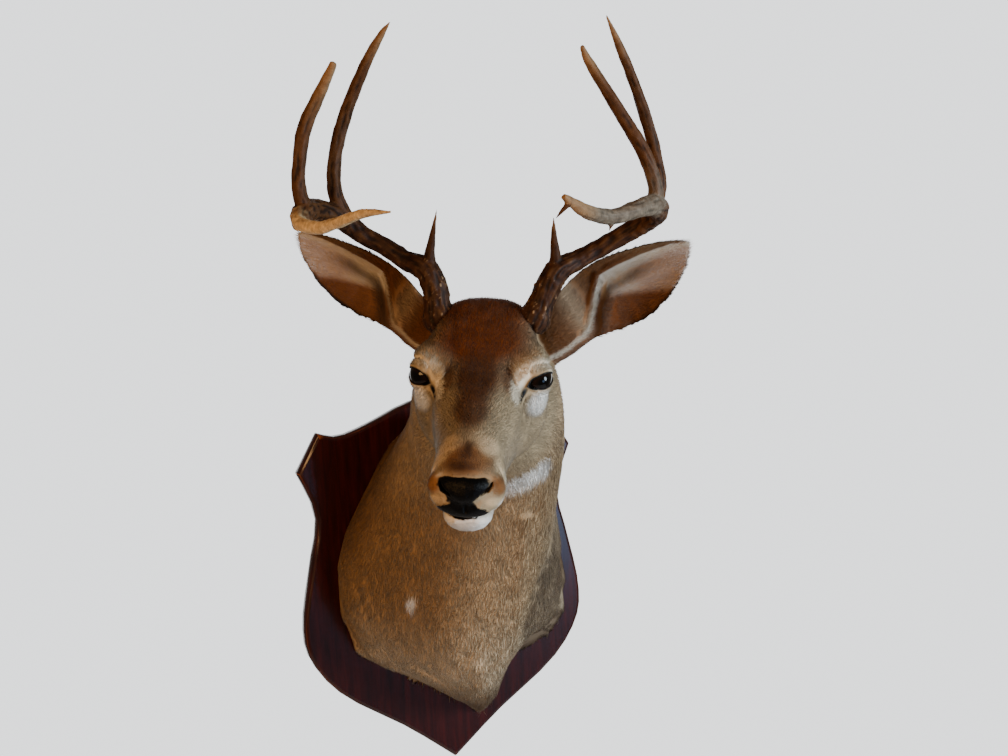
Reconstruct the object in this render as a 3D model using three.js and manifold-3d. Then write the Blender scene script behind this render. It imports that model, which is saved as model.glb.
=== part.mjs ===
// Shoulder mount of a white-tailed buck on a shield-shaped wall plaque.
// Millimetres, +Z up. The origin is on the flat back of the plaque, at half its height.
// +X is the viewer's right and the deer's left, -Y leaves the wall towards the viewer.
// The head has a frame of its own: origin between the eyes, -Y to the nose, jaw level.

import * as THREE from 'three';
import { mergeVertices } from 'three/addons/utils/BufferGeometryUtils.js';
import Module from 'manifold-3d';

const wasm = await Module();
wasm.setup();

// ---- driving dimensions ----

const gap = 0.3;                 // clearance between neighbouring pieces
const deg = Math.PI / 180;

const board = { height: 503, thickness: 19, edge: 5, edgeSteps: 2 };

// Half outline of the shield, from its lower tip at [0, 0] up to the waist below the ears.
const shieldSide = [
  [0, 0], [67, 54], [150, 112], [190, 165], [197, 215], [184, 287], [171, 355], [192.6, 416],
];
// Crest from the ear's cut corner to the middle of the top edge.
const shieldCrest = [[162.7, 466], [134, 459.5], [90, 473], [45, 492], [0, 503]];

// Pose of the head: place of the point between the eyes, then turn, nod and lean in degrees.
const headPose = { x: -80, y: -420, z: 312, turn: -25.5, nod: 11.3, lean: 5 };

// Head sections at y: top and bottom of the section, half width, height of the widest place,
// and how square the upper and lower halves are (2 is an ellipse).
const headSections = [
  { y: -179, top: -42, bottom: -73, half: 16, wide: -57, over: 2, under: 2 },
  { y: -174, top: -31, bottom: -79, half: 28, wide: -56, over: 2, under: 2.2 },
  { y: -165, top: -24, bottom: -80, half: 34.5, wide: -54, over: 2.1, under: 2.6 },
  { y: -148, top: -16, bottom: -79, half: 35, wide: -51, over: 2.2, under: 2.8 },
  { y: -120, top: -6, bottom: -78, half: 34.5, wide: -45, over: 2.2, under: 2.8 },
  { y: -95, top: 4, bottom: -82, half: 37, wide: -40, over: 2.3, under: 2.6 },
  { y: -70, top: 14, bottom: -88, half: 42, wide: -30, over: 2.3, under: 2.5 },
  { y: -48, top: 22, bottom: -91, half: 46, wide: -20, over: 2.4, under: 2.6 },
  { y: -30, top: 29, bottom: -92, half: 51, wide: -10, over: 2.5, under: 2.7 },
  { y: -14, top: 38, bottom: -93, half: 63, wide: -2, over: 2.5, under: 2.5 },
  { y: 2, top: 47, bottom: -93, half: 70, wide: 2, over: 2.6, under: 2.5 },
  { y: 18, top: 56, bottom: -93, half: 66, wide: 4, over: 2.8, under: 2.6 },
  { y: 36, top: 65, bottom: -91, half: 61, wide: 4, over: 3, under: 2.6 },
  { y: 55, top: 70, bottom: -88, half: 58, wide: 3, over: 3.1, under: 2.5 },
  { y: 78, top: 68, bottom: -78, half: 56, wide: 2, over: 2.8, under: 2.3 },
  { y: 100, top: 57, bottom: -62, half: 48, wide: 0, over: 2.3, under: 2 },
  { y: 116, top: 34, bottom: -40, half: 30, wide: 0, over: 2, under: 2 },
];

// Local swellings and hollows of the head, mirrored: where, how far they push, how wide.
const headForms = [
  { name: 'brow', at: [60, -6, 27], push: [5, -4, 4], reach: 16 },
  { name: 'orbit', at: [61, -24, 8], push: [7, -5, 0], reach: 17 },
  { name: 'cheekbone', at: [60, -16, -20], push: [4, -2, 0], reach: 15 },
  { name: 'tear pit', at: [45, -40, -3], push: [-3, 2, 0], reach: 10 },
  { name: 'temple', at: [54, 38, 32], push: [-4, 0, -2], reach: 17 },
  { name: 'jaw muscle', at: [56, 18, -50], push: [4, 0, -1], reach: 28 },
  { name: 'nostril wing', at: [29, -170, -46], push: [3, -3, 0], reach: 10 },
  { name: 'whisker pad', at: [34, -150, -62], push: [2, 0, 0], reach: 16 },
];

const jawSections = [
  { y: -164, top: -84, bottom: -93, half: 12, wide: -88, over: 2, under: 2 },
  { y: -159, top: -80, bottom: -100, half: 20, wide: -87, over: 2, under: 2 },
  { y: -149, top: -76, bottom: -103, half: 24, wide: -86, over: 2.2, under: 2.2 },
  { y: -128, top: -74, bottom: -98, half: 26, wide: -84, over: 2.2, under: 2.2 },
  { y: -100, top: -70, bottom: -95, half: 29, wide: -80, over: 2.2, under: 2.1 },
  { y: -70, top: -65, bottom: -93, half: 33, wide: -76, over: 2.2, under: 2.1 },
  { y: -40, top: -62, bottom: -86, half: 30, wide: -74, over: 2, under: 2 },
];

const eye = { x: 55, y: -9, z: 6.5, radius: 18, columns: 12, rows: 8, lid: 2 };
const lidOpening = { length: 40, above: 11, below: 10, turn: 42, tilt: 5, reach: 40 };
const nosePad = { y: -171, z: -47, half: 27, depth: 17, rise: 13, drop: 17, taper: 0.45 };

// Sections of the neck and chest, from the wall to the skull: the nape and throat points,
// half width, height of the widest place as a share of the section, squareness, and turn.
const bodySections = [
  {
    nape: [8, -19.3, 235], throat: [34, -19.3, -194],
    half: 160, wide: 0.4, over: 1.75, under: 1.2, turn: 0,
  },
  {
    nape: [0, -60, 243], throat: [20, -74, -180],
    half: 155, wide: 0.42, over: 1.8, under: 1.3, turn: -1,
  },
  {
    nape: [-9, -110, 257], throat: [0, -142, -142],
    half: 138, wide: 0.45, over: 1.85, under: 1.45, turn: -4,
  },
  {
    nape: [-16, -165, 279], throat: [-20, -190, -84],
    half: 118, wide: 0.48, over: 1.9, under: 1.65, turn: -9,
  },
  {
    nape: [-23, -215, 302], throat: [-30, -224, -26],
    half: 104, wide: 0.5, over: 1.9, under: 1.85, turn: -14,
  },
  {
    nape: [-27, -262, 327], throat: [-32, -254, 34],
    half: 97, wide: 0.5, over: 1.9, under: 2, turn: -18,
  },
  {
    nape: [-31, -305, 352], throat: [-36, -289, 95],
    half: 91, wide: 0.5, over: 1.95, under: 2.1, turn: -22,
  },
  {
    nape: [-39, -338, 374], throat: [-49, -330, 155],
    half: 86, wide: 0.5, over: 2.1, under: 2.3, turn: -24,
  },
  {
    nape: [-50, -374, 383], throat: [-70, -386, 218],
    half: 63, wide: 0.5, over: 2.1, under: 2.4, turn: -25.5,
  },
];

// Swellings of the body, for each side: shoulder muscle and the stub of the foreleg.
const bodyForms = [
  { name: 'left flank', at: [168, -90, 20], push: [-19, 0, 0], reach: 80 },
  { name: 'right flank', at: [-135, -60, 60], push: [-22, 0, 0], reach: 58 },
  { name: 'left shoulder', at: [150, -55, -30], push: [-2, -8, 0], reach: 55 },
  { name: 'right shoulder', at: [-145, -70, -35], push: [-19, -10, -4], reach: 68 },
  { name: 'left leg stub', at: [148, -28, -84], push: [26, -6, -4], reach: 28 },
  { name: 'right leg stub', at: [-118, -34, -92], push: [-30, -6, -19], reach: 40 },
  { name: 'left breast', at: [80, -130, -92], push: [-36, 10, 6], reach: 48 },
  { name: 'left armpit', at: [104, -50, -122], push: [-34, 2, 18], reach: 42 },
  { name: 'left brisket', at: [60, -70, -160], push: [-12, 2, 4], reach: 30 },
  { name: 'right brisket', at: [-20, -40, -172], push: [20, 4, 8], reach: 36 },
];

// Where the neck ends and the chest begins, and the blocks that part the shoulders.
const neckCut = { y: -205, z: 130, lean: 10, width: 800, depth: 600, height: 900 };
const shoulderBlock = { inner: 88, top: 95, front: -185, splay: 24, size: 400 };

// Leaf-shaped ear: along its length, the edges below and above the axis, the depth of the cup,
// and the thickness of the flap in the middle of the cup.
const earSections = [
  { along: -36, low: -38, high: 17, cup: 18, flap: 34 },
  { along: -14, low: -38, high: 22, cup: 23, flap: 40 },
  { along: 7, low: -36, high: 27, cup: 28, flap: 32 },
  { along: 24, low: -38.5, high: 32, cup: 31, flap: 15 },
  { along: 42, low: -44, high: 35, cup: 33, flap: 7 },
  { along: 62, low: -48, high: 35, cup: 32, flap: 5 },
  { along: 82, low: -47, high: 31.5, cup: 28, flap: 4.5 },
  { along: 102, low: -42, high: 26, cup: 22, flap: 4.5 },
  { along: 120, low: -34, high: 20, cup: 16, flap: 4 },
  { along: 136, low: -24, high: 13, cup: 10, flap: 4 },
  { along: 148, low: -12, high: 6, cup: 5, flap: 4 },
  { along: 153, low: -5, high: 2, cup: 2, flap: 4 },
];
const ear = {
  rise: 35,
  rim: 3.5,
  y: 86,
  left: { x: 84, z: 45, scale: 1 },
  right: { x: -82, z: 44, scale: 0.97 },
};
const earWidth = { left: 1, right: 0.87 };

// Antler curves, in the head frame, each point with the antler's radius there.
// Beams run from the burr through the fork of the brow tine and the rear tine to the bend.
const leftAntler = {
  beam: [
    [46, 51, 42, 14], [51, 52, 52, 17.5], [56, 54, 64, 15], [62, 57, 80, 14], [74, 62, 102, 13],
    [94, 72, 112, 10.5], [115, 79, 123, 10], [141, 80, 139, 10.3], [163, 74, 155, 10.8],
    [174, 50, 169, 10.5], [169, 12, 184, 10.8], [153, -18, 186, 9.3], [131, -42, 182, 7.8],
    [114, -60, 185, 7.4], [97, -84, 195, 6.4], [79, -104, 210, 3.4],
  ],
  forks: [4, 8, 10],
  brow: [[67, 63, 95, 8], [71, 60, 114, 6.4], [69, 54, 139, 3.8], [68, 46, 163, 0.8]],
  rear: [
    [166, 68, 160, 7], [174, 68, 184, 8], [171, 77, 219, 6.8], [160, 84, 256, 6.5], [142, 86, 301, 5.6],
    [127, 81, 333, 4.4], [113, 74, 362, 1.2],
  ],
  front: [
    [166, 16, 178, 9], [168, 10, 200, 7.6], [155, 10, 235, 7.2], [130, 12, 273, 6.5], [99, 10, 318, 4.6],
    [90, 5, 336, 2.4],
  ],
  splinter: [[86, -99, 203, 2.4], [80, -99, 197, 2], [74, -98, 190, 0.7]],
};
const rightAntler = {
  beam: [
    [-43, 51, 38, 14], [-49, 52, 49, 17.5], [-52, 54, 61, 15], [-54, 57, 78, 14], [-65, 62, 99, 13],
    [-88, 72, 106, 10.5], [-110, 78, 118, 9.8], [-132, 79, 129, 10], [-156, 73, 147, 11.4],
    [-175, 48, 160, 11.6], [-183, 12, 166, 10.8], [-181, -18, 160, 7.6], [-158, -43, 161, 6.8],
    [-138, -60, 169, 5.8], [-106, -88, 185, 4.4], [-76, -111, 192, 1.4],
  ],
  forks: [4, 8, 10],
  brow: [[-60, 64, 92, 8], [-61, 60, 112, 6.4], [-58, 57, 134, 3.8], [-52, 48, 167, 0.8]],
  rear: [
    [-154, 72, 150, 9], [-162, 72, 176, 7.8], [-162, 80, 216, 7.4], [-149, 84, 263, 7], [-128, 81, 310, 5.7],
    [-114, 77, 335, 4], [-103, 72, 350, 1.2],
  ],
  front: [
    [-182, 14, 166, 8.5], [-186, 9, 185, 7.2], [-186, 8, 210, 7], [-180, 10, 248, 7.6], [-162, 10, 287, 6],
    [-148, 4, 314, 3.8],
  ],
};
const tube = { beamSides: 8, tineSides: 7, beamStep: 12, tineStep: 18 };

// ---- materials ----

const finish = (color, roughness) => new THREE.MeshStandardMaterial({ color, roughness, metalness: 0 });
const coatBrown = finish(0x7a5a3c, 0.9);
const faceBrown = finish(0x6b4a30, 0.9);
const chinWhite = finish(0xd8d2c4, 0.9);
const earGrey = finish(0x8a7866, 0.9);
const noseBlack = finish(0x14110f, 0.4);
const eyeGlass = finish(0x0a0706, 0.05);
const antlerBrown = finish(0x5a4028, 0.55);
const mahogany = finish(0x2a0d0c, 0.2);

// ---- curves and closed surfaces ----

// Smooth value of one named size at `at`, through the stations that state it, without overshoot.
function sizeAt(stations, place, key, at) {
  const last = stations.length - 1;
  const rise = (i) => stations[i + 1][key] - stations[i][key];
  const steps = stations.slice(1).map((s, i) => rise(i) / (s[place] - stations[i][place]));
  const slope = (i) => {
    if (i === 0) return steps[0];
    if (i === last) return steps[last - 1];
    const product = steps[i - 1] * steps[i];
    return product <= 0 ? 0 : (2 * product) / (steps[i - 1] + steps[i]);
  };
  let i = 0;
  while (i < last - 1 && at > stations[i + 1][place]) i += 1;
  const from = stations[i];
  const to = stations[i + 1];
  const span = to[place] - from[place];
  const t = (at - from[place]) / span;
  const keep = 2 * t ** 3 - 3 * t ** 2 + 1;
  const bendIn = (t ** 3 - 2 * t ** 2 + t) * span * slope(i);
  const bendOut = (t ** 3 - t ** 2) * span * slope(i + 1);
  return keep * from[key] + (1 - keep) * to[key] + bendIn + bendOut;
}

// Stations between the given ones, `perSpan` steps in each span.
function spread(stations, place, perSpan) {
  const keys = Object.keys(stations[0]);
  const rows = [];
  for (let i = 0; i < stations.length - 1; i += 1) {
    for (let k = 0; k < perSpan; k += 1) {
      const at = THREE.MathUtils.lerp(stations[i][place], stations[i + 1][place], k / perSpan);
      rows.push(Object.fromEntries(keys.map((key) => [key, sizeAt(stations, place, key, at)])));
    }
  }
  rows.push(stations.at(-1));
  return rows;
}

// Closed surface through rings of equal length, with a point in the middle of each end.
function loft(rings) {
  const sides = rings[0].length;
  const positions = rings.flat().flatMap((p) => [p.x, p.y, p.z]);
  const faces = [];
  for (let r = 0; r < rings.length - 1; r += 1) {
    for (let k = 0; k < sides; k += 1) {
      const a = r * sides + k;
      const b = r * sides + ((k + 1) % sides);
      faces.push(a, b, b + sides, a, b + sides, a + sides);
    }
  }
  const middle = (ring) => ring.reduce((sum, p) => sum.add(p), new THREE.Vector3()).divideScalar(sides);
  [rings[0], rings.at(-1)].forEach((ring, end) => {
    const centre = positions.length / 3;
    const first = end * (rings.length - 1) * sides;
    positions.push(...middle(ring).toArray());
    for (let k = 0; k < sides; k += 1) {
      const a = first + k;
      const b = first + ((k + 1) % sides);
      faces.push(...(end ? [a, b, centre] : [b, a, centre]));
    }
  });
  const geometry = new THREE.BufferGeometry();
  geometry.setAttribute('position', new THREE.Float32BufferAttribute(positions, 3));
  geometry.setIndex(faces);
  return outward(geometry);
}

// Turns a surface that is inside out.
function outward(geometry) {
  const points = geometry.attributes.position;
  const index = geometry.index.array;
  const corner = (i) => new THREE.Vector3().fromBufferAttribute(points, index[i]);
  let volume = 0;
  for (let i = 0; i < index.length; i += 3) volume += corner(i).dot(corner(i + 1).cross(corner(i + 2)));
  if (volume < 0) {
    for (let i = 0; i < index.length; i += 3) [index[i], index[i + 1]] = [index[i + 1], index[i]];
  }
  return geometry;
}

// Point of a closed section at angle a, squared off by `over` above and `under` below.
function sectionPoint(a, over, under) {
  const power = 2 / (Math.sin(a) > 0 ? over : under);
  const square = (v) => Math.sign(v) * Math.abs(v) ** power;
  return { across: square(Math.cos(a)), up: square(Math.sin(a)) };
}

const angles = (sides) => Array.from({ length: sides }, (_, k) => ((k + 0.5) / sides) * 2 * Math.PI);

function reshape(geometry, change) {
  const points = geometry.attributes.position;
  for (let i = 0; i < points.count; i += 1) {
    const p = new THREE.Vector3().fromBufferAttribute(points, i);
    change(p);
    points.setXYZ(i, p.x, p.y, p.z);
  }
  return geometry;
}

// Pushes points near a form outwards or inwards, fading with distance.
function swell(p, form, mirrored) {
  const side = mirrored && p.x < 0 ? -1 : 1;
  const centre = new THREE.Vector3(form.at[0] * side, form.at[1], form.at[2]);
  const amount = Math.exp(-centre.distanceToSquared(p) / form.reach ** 2);
  p.add(new THREE.Vector3(form.push[0] * side, form.push[1], form.push[2]).multiplyScalar(amount));
}

// ---- solids ----

function solid(geometry) {
  const bare = geometry.clone();
  bare.deleteAttribute('normal');
  bare.deleteAttribute('uv');
  const merged = mergeVertices(bare, 1e-4);
  const vertProperties = new Float32Array(merged.attributes.position.array);
  const triVerts = new Uint32Array(merged.index.array);
  return new wasm.Manifold(new wasm.Mesh({ numProp: 3, vertProperties, triVerts }));
}

function surface(manifold) {
  const mesh = manifold.getMesh();
  const geometry = new THREE.BufferGeometry();
  geometry.setAttribute('position', new THREE.Float32BufferAttribute(mesh.vertProperties, 3));
  geometry.setIndex(Array.from(mesh.triVerts));
  return geometry;
}

// The same shape with its skin moved out by the clearance, to cut a neighbour with.
function grown(geometry, by = gap) {
  const shape = geometry.clone();
  shape.computeVertexNormals();
  const points = shape.attributes.position;
  const normals = shape.attributes.normal;
  for (let i = 0; i < points.count; i += 1) {
    const p = new THREE.Vector3().fromBufferAttribute(points, i);
    p.addScaledVector(new THREE.Vector3().fromBufferAttribute(normals, i), by);
    points.setXYZ(i, p.x, p.y, p.z);
  }
  return solid(shape);
}

function block(width, depth, height, x, y, z, rotation = [0, 0, 0]) {
  const geometry = new THREE.BoxGeometry(width, depth, height);
  const turn = new THREE.Matrix4().makeRotationFromEuler(new THREE.Euler(...rotation));
  return geometry.applyMatrix4(turn.setPosition(x, y, z));
}

// ---- plaque ----

function shieldShape() {
  const points = (pairs) => pairs.map(([x, z]) => new THREE.Vector2(x, z - board.height / 2));
  const side = new THREE.SplineCurve(points(shieldSide)).getPoints(20);
  const crest = new THREE.SplineCurve(points(shieldCrest)).getPoints(10);
  const half = [...side, ...crest];
  const mirrored = half.slice(1, -1).reverse().map((p) => new THREE.Vector2(-p.x, p.y));
  return new THREE.Shape([...half, ...mirrored]);
}

function plaqueGeometry() {
  const geometry = new THREE.ExtrudeGeometry(shieldShape(), {
    depth: board.thickness - board.edge,
    steps: 1,
    curveSegments: 1,
    bevelThickness: board.edge,
    bevelSize: board.edge,
    bevelOffset: -board.edge,
    bevelSegments: board.edgeSteps,
  });
  geometry.rotateX(Math.PI / 2);
  const front = block(600, 100, 700, 0, -50, 0);
  return surface(solid(geometry).intersect(solid(front)));
}

// ---- head, jaw, nose and eyes, in the head frame ----

function sectionRing(row, sides) {
  return angles(sides).map((a) => {
    const { across, up } = sectionPoint(a, row.over, row.under);
    const height = up > 0 ? row.top - row.wide : row.wide - row.bottom;
    return new THREE.Vector3(across * row.half, row.y, row.wide + up * height);
  });
}

function headGeometry() {
  const rings = spread(headSections, 'y', 2).map((row) => sectionRing(row, 26));
  return reshape(loft(rings), (p) => headForms.forEach((form) => swell(p, form, true)));
}

function jawGeometry() {
  return loft(spread(jawSections, 'y', 2).map((row) => sectionRing(row, 12)));
}

function eyeGeometry(side, radius = eye.radius) {
  const geometry = new THREE.SphereGeometry(radius, eye.columns, eye.rows);
  return mergedShape(geometry.translate(side * eye.x, eye.y, eye.z));
}

// Almond prism from the middle of the eyeball outwards, which opens the lids.
function lidOpeningGeometry(side) {
  const end = lidOpening.length / 2;
  const almond = new THREE.Shape();
  almond.moveTo(-end, 0);
  almond.quadraticCurveTo(0, lidOpening.above * 2, end, 0);
  almond.quadraticCurveTo(0, -lidOpening.below * 2, -end, 0);
  const prism = { depth: lidOpening.reach, bevelEnabled: false, curveSegments: 5 };
  const geometry = new THREE.ExtrudeGeometry(almond, prism);
  geometry.rotateZ(side * lidOpening.tilt * deg);
  geometry.rotateX(Math.PI / 2);
  geometry.rotateZ(side * lidOpening.turn * deg);
  return geometry.translate(side * eye.x, eye.y, eye.z);
}

// Nose pad: a flattened ball, broad above and drawn in towards the lip.
function nosePadGeometry() {
  const geometry = mergedShape(new THREE.SphereGeometry(1, 16, 10).rotateX(Math.PI / 2));
  return reshape(geometry, (p) => {
    const draw = p.z < 0 ? 1 + nosePad.taper * p.z : 1;
    p.x *= nosePad.half * draw;
    p.y = nosePad.y + p.y * nosePad.depth + Math.min(0, p.z) * 5;
    p.z = nosePad.z + p.z * (p.z > 0 ? nosePad.rise : nosePad.drop);
  });
}

function mergedShape(geometry) {
  geometry.deleteAttribute('normal');
  geometry.deleteAttribute('uv');
  return mergeVertices(geometry, 1e-4);
}

// ---- ears ----

function earRing(row) {
  const steps = 8;
  const middle = (row.low + row.high) / 2;
  const half = (row.high - row.low) / 2;
  const arc = Array.from({ length: steps + 1 }, (_, k) => (k / steps) * Math.PI);
  const back = arc.map((a) => [middle + half * Math.cos(a), row.cup * Math.sin(a) + ear.rim / 2]);
  const inner = row.cup - row.flap;
  const front = arc.map((a) => [middle + half * Math.cos(a), inner * Math.sin(a) - ear.rim / 2]);
  return [...back, ...front.reverse()].map(([z, y]) => new THREE.Vector3(row.along, y, z));
}

function earGeometry(name, side) {
  const { x, z, scale } = ear[name];
  const geometry = loft(earSections.map(earRing)).scale(1, 1, earWidth[name]);
  geometry.rotateY(-ear.rise * deg);
  geometry.scale(side * scale, scale, scale);
  return outward(geometry.translate(x, ear.y, z));
}

// ---- antlers ----

// Rings of a tapered round tube through the points, one about every `step` millimetres.
function tubeRings(points, sides, step) {
  const curve = new THREE.CatmullRomCurve3(points.map(([x, y, z]) => new THREE.Vector3(x, y, z)));
  const count = Math.max(3, Math.round(curve.getLength() / step));
  const frames = curve.computeFrenetFrames(count, false);
  return Array.from({ length: count + 1 }, (_, i) => {
    const centre = curve.getPointAt(i / count);
    const place = curve.getUtoTmapping(i / count) * (points.length - 1);
    const from = Math.min(Math.floor(place), points.length - 2);
    const radius = THREE.MathUtils.lerp(points[from][3], points[from + 1][3], place - from);
    return {
      place,
      tangent: frames.tangents[i],
      ring: angles(sides).map((a) => centre.clone()
        .addScaledVector(frames.normals[i], radius * Math.cos(a))
        .addScaledVector(frames.binormals[i], radius * Math.sin(a))),
    };
  });
}

// Parts the beam at its forks, leaving the clearance between the lengths.
function beamLengths(antler, rows) {
  const ends = antler.forks.map((fork) => rows.findIndex((row) => row.place >= fork));
  const starts = [0, ...ends];
  return starts.map((start, i) => {
    const slice = rows.slice(start, (ends[i] ?? rows.length - 1) + 1);
    const rings = slice.map((row) => row.ring.map((p) => p.clone()));
    if (start > 0) rings[0].forEach((p) => p.addScaledVector(slice[0].tangent, gap));
    return loft(rings);
  });
}

function tineGeometry(points) {
  return loft(tubeRings(points, tube.tineSides, tube.tineStep).map((row) => row.ring));
}

function antlerPieces(antler, headCut) {
  const rows = tubeRings(antler.beam, tube.beamSides, tube.beamStep);
  const lengths = beamLengths(antler, rows);
  const wholeBeam = grown(loft(rows.map((row) => row.ring)));
  const names = ['base', 'lower_beam', 'bend', 'beam_tip'];
  const solids = lengths.map(solid);
  solids[0] = solids[0].subtract(headCut);
  if (antler.splinter) solids[3] = solids[3].add(solid(tineGeometry(antler.splinter)));
  const pieces = names.map((name, i) => [name, solids[i]]);
  for (const tine of ['brow', 'rear', 'front']) {
    pieces.push([`${tine}_tine`, solid(tineGeometry(antler[tine])).subtract(wholeBeam)]);
  }
  return pieces;
}

// ---- neck, chest and shoulders, in the frame of the mount ----

function bodyRow(at) {
  const rows = bodySections.map((s, i) => ({
    i, napeX: s.nape[0], napeY: s.nape[1], napeZ: s.nape[2], throatX: s.throat[0], throatY: s.throat[1],
    throatZ: s.throat[2], half: s.half, wide: s.wide, over: s.over, under: s.under, turn: s.turn,
  }));
  return Object.fromEntries(Object.keys(rows[0]).map((key) => [key, sizeAt(rows, 'i', key, at)]));
}

function bodyRing(row, sides) {
  const nape = new THREE.Vector3(row.napeX, row.napeY, row.napeZ);
  const throat = new THREE.Vector3(row.throatX, row.throatY, row.throatZ);
  const centre = throat.clone().lerp(nape, row.wide);
  const lean = (row.turn / headPose.turn) * headPose.lean;
  const turn = row.turn * deg;
  const across = new THREE.Vector3(Math.cos(turn), Math.sin(turn), -Math.sin(lean * deg));
  return angles(sides).map((a) => {
    const point = sectionPoint(a, row.over, row.under);
    const p = centre.clone().addScaledVector(across, point.across * row.half);
    return p.addScaledVector((point.up > 0 ? nape : throat).clone().sub(centre), Math.abs(point.up));
  });
}

function bodyGeometry() {
  const count = 17;
  const last = bodySections.length - 1;
  const rings = Array.from({ length: count + 1 }, (_, k) => bodyRing(bodyRow((k / count) * last), 34));
  return reshape(loft(rings), (p) => {
    const wallShare = THREE.MathUtils.clamp((p.y + 19.3) / -12, 0, 1);
    const flat = p.y;
    bodyForms.forEach((form) => swell(p, form, false));
    p.y = THREE.MathUtils.lerp(flat, p.y, wallShare);
  });
}

function shoulderCutter(side, by) {
  const { size } = shoulderBlock;
  const turn = side * shoulderBlock.splay * deg;
  const reachX = shoulderBlock.inner - by + size / 2;
  const x = side * reachX * Math.cos(turn);
  const y = shoulderBlock.front / 2 + side * reachX * Math.sin(turn);
  return solid(block(size, size, size, x, y, shoulderBlock.top + by - size / 2, [0, 0, turn]));
}

function bodyPieces(cutters) {
  const whole = cutters.reduce((rest, cutter) => rest.subtract(cutter), solid(bodyGeometry()));
  const frontBlock = (by) => {
    const { width, depth, height, y, z, lean } = neckCut;
    return solid(block(width, depth, height, 0, y - depth / 2 + by, z, [lean * deg, 0, 0]));
  };
  const neck = whole.intersect(frontBlock(0));
  let chest = whole.subtract(frontBlock(gap));
  const pieces = [['neck', neck]];
  for (const [name, side] of [['shoulder_left', 1], ['shoulder_right', -1]]) {
    pieces.push([name, chest.intersect(shoulderCutter(side, 0))]);
    chest = chest.subtract(shoulderCutter(side, gap));
  }
  pieces.push(['chest', chest]);
  return pieces;
}

// ---- the mount ----

const headTurn = new THREE.Euler(headPose.nod * deg, headPose.lean * deg, headPose.turn * deg, 'ZXY');
const headMatrix = new THREE.Matrix4()
  .makeRotationFromEuler(headTurn)
  .setPosition(headPose.x, headPose.y, headPose.z);

const mount = new THREE.Group();
const headGroup = new THREE.Group();
headGroup.applyMatrix4(headMatrix);
mount.add(headGroup);

function place(group, name, geometry, material) {
  const mesh = new THREE.Mesh(geometry, material);
  mesh.name = name;
  group.add(mesh);
}

const headShape = headGeometry();
const padShape = nosePadGeometry();
const earShapes = { left: earGeometry('left', 1), right: earGeometry('right', -1) };
const headCut = grown(headShape);
const sides = [['left', 1], ['right', -1]];

place(mount, 'plaque', plaqueGeometry(), mahogany);

let head = solid(headShape).subtract(grown(padShape));
for (const [name, side] of sides) {
  head = head.add(solid(eyeGeometry(side, eye.radius + eye.lid)));
  head = head.subtract(solid(lidOpeningGeometry(side))).subtract(grown(eyeGeometry(side)));
  place(headGroup, `eye_${name}`, eyeGeometry(side), eyeGlass);
  place(headGroup, `ear_${name}`, surface(solid(earShapes[name]).subtract(headCut)), earGrey);
}
place(headGroup, 'head', surface(head), faceBrown);
place(headGroup, 'nose_pad', padShape, noseBlack);
place(headGroup, 'lower_jaw', surface(solid(jawGeometry()).subtract(headCut)), chinWhite);

for (const [name, antler] of [['left', leftAntler], ['right', rightAntler]]) {
  for (const [piece, shape] of antlerPieces(antler, headCut)) {
    place(headGroup, `antler_${name}_${piece}`, surface(shape), antlerBrown);
  }
}

const headShapes = [headShape, earShapes.left, earShapes.right];
const bodyCutters = headShapes.map((shape) => grown(shape.applyMatrix4(headMatrix)));
for (const [name, shape] of bodyPieces(bodyCutters)) place(mount, name, surface(shape), coatBrown);

export default mount;
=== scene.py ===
# A white-tailed buck's shoulder mount: one skin under its coat, glass eyes, antlers and a mahogany shield.
import math

import bmesh
import bpy
import numpy as np
from mathutils import Matrix, Vector
from mathutils.bvhtree import BVHTree


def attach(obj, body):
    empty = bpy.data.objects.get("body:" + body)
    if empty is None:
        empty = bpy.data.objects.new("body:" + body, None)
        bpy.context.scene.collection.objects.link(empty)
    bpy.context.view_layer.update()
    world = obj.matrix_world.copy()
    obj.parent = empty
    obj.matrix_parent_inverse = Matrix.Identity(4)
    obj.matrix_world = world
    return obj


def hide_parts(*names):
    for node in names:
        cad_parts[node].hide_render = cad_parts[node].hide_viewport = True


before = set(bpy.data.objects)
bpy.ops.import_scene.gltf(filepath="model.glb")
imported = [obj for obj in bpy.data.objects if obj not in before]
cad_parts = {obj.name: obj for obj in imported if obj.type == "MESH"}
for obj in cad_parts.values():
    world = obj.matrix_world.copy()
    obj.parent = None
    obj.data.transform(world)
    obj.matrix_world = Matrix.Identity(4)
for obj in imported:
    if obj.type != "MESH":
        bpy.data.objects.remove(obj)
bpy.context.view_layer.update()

mm = 0.001
random = np.random.default_rng(8)
both, once = (-1, 1), (1,)  # a shape on both sides of the head, or on its own side alone

# The head's own frame: millimetres from the point between the eyes, -Y to the nose, Z up.
headPose = {"at": (-80, -420, 312), "turn": -25.5, "nod": 11.3, "lean": 5.0}


def turned(key, axis):
    return Matrix.Rotation(math.radians(headPose[key]), 3, axis)


headAxes = np.array(turned("turn", "Z") @ turned("nod", "X") @ turned("lean", "Y"))
headAt = np.array(headPose["at"], float)


def toHead(points):  # metres in the part's frame to millimetres in the head's
    return (points / mm - headAt) @ headAxes


def fromHead(points):
    return (np.asarray(points, float) @ headAxes.T + headAt) * mm


def mirroredX(points, side):
    return points * np.array((side, 1, 1))


def mirroredAbs(head):
    return np.abs(head) * (1, 0, 0) + head * (0, 1, 1)


def unit(vectors):
    return vectors / np.maximum(np.linalg.norm(vectors, axis=-1, keepdims=True), 1e-9)


def ease(low, high, value):  # 0 below low, 1 above high, smooth between
    t = np.clip((value - low) / (high - low), 0, 1)
    return t * t * (3 - 2 * t)


def bell(value, width):  # 1 at nothing, falling off on both sides
    return np.exp(-(value / width) ** 2)


def near(points, at, reach):  # a soft ball, or egg, round a point
    return np.exp(-(((points - np.array(at, float)) / np.array(reach, float)) ** 2).sum(-1))


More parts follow.
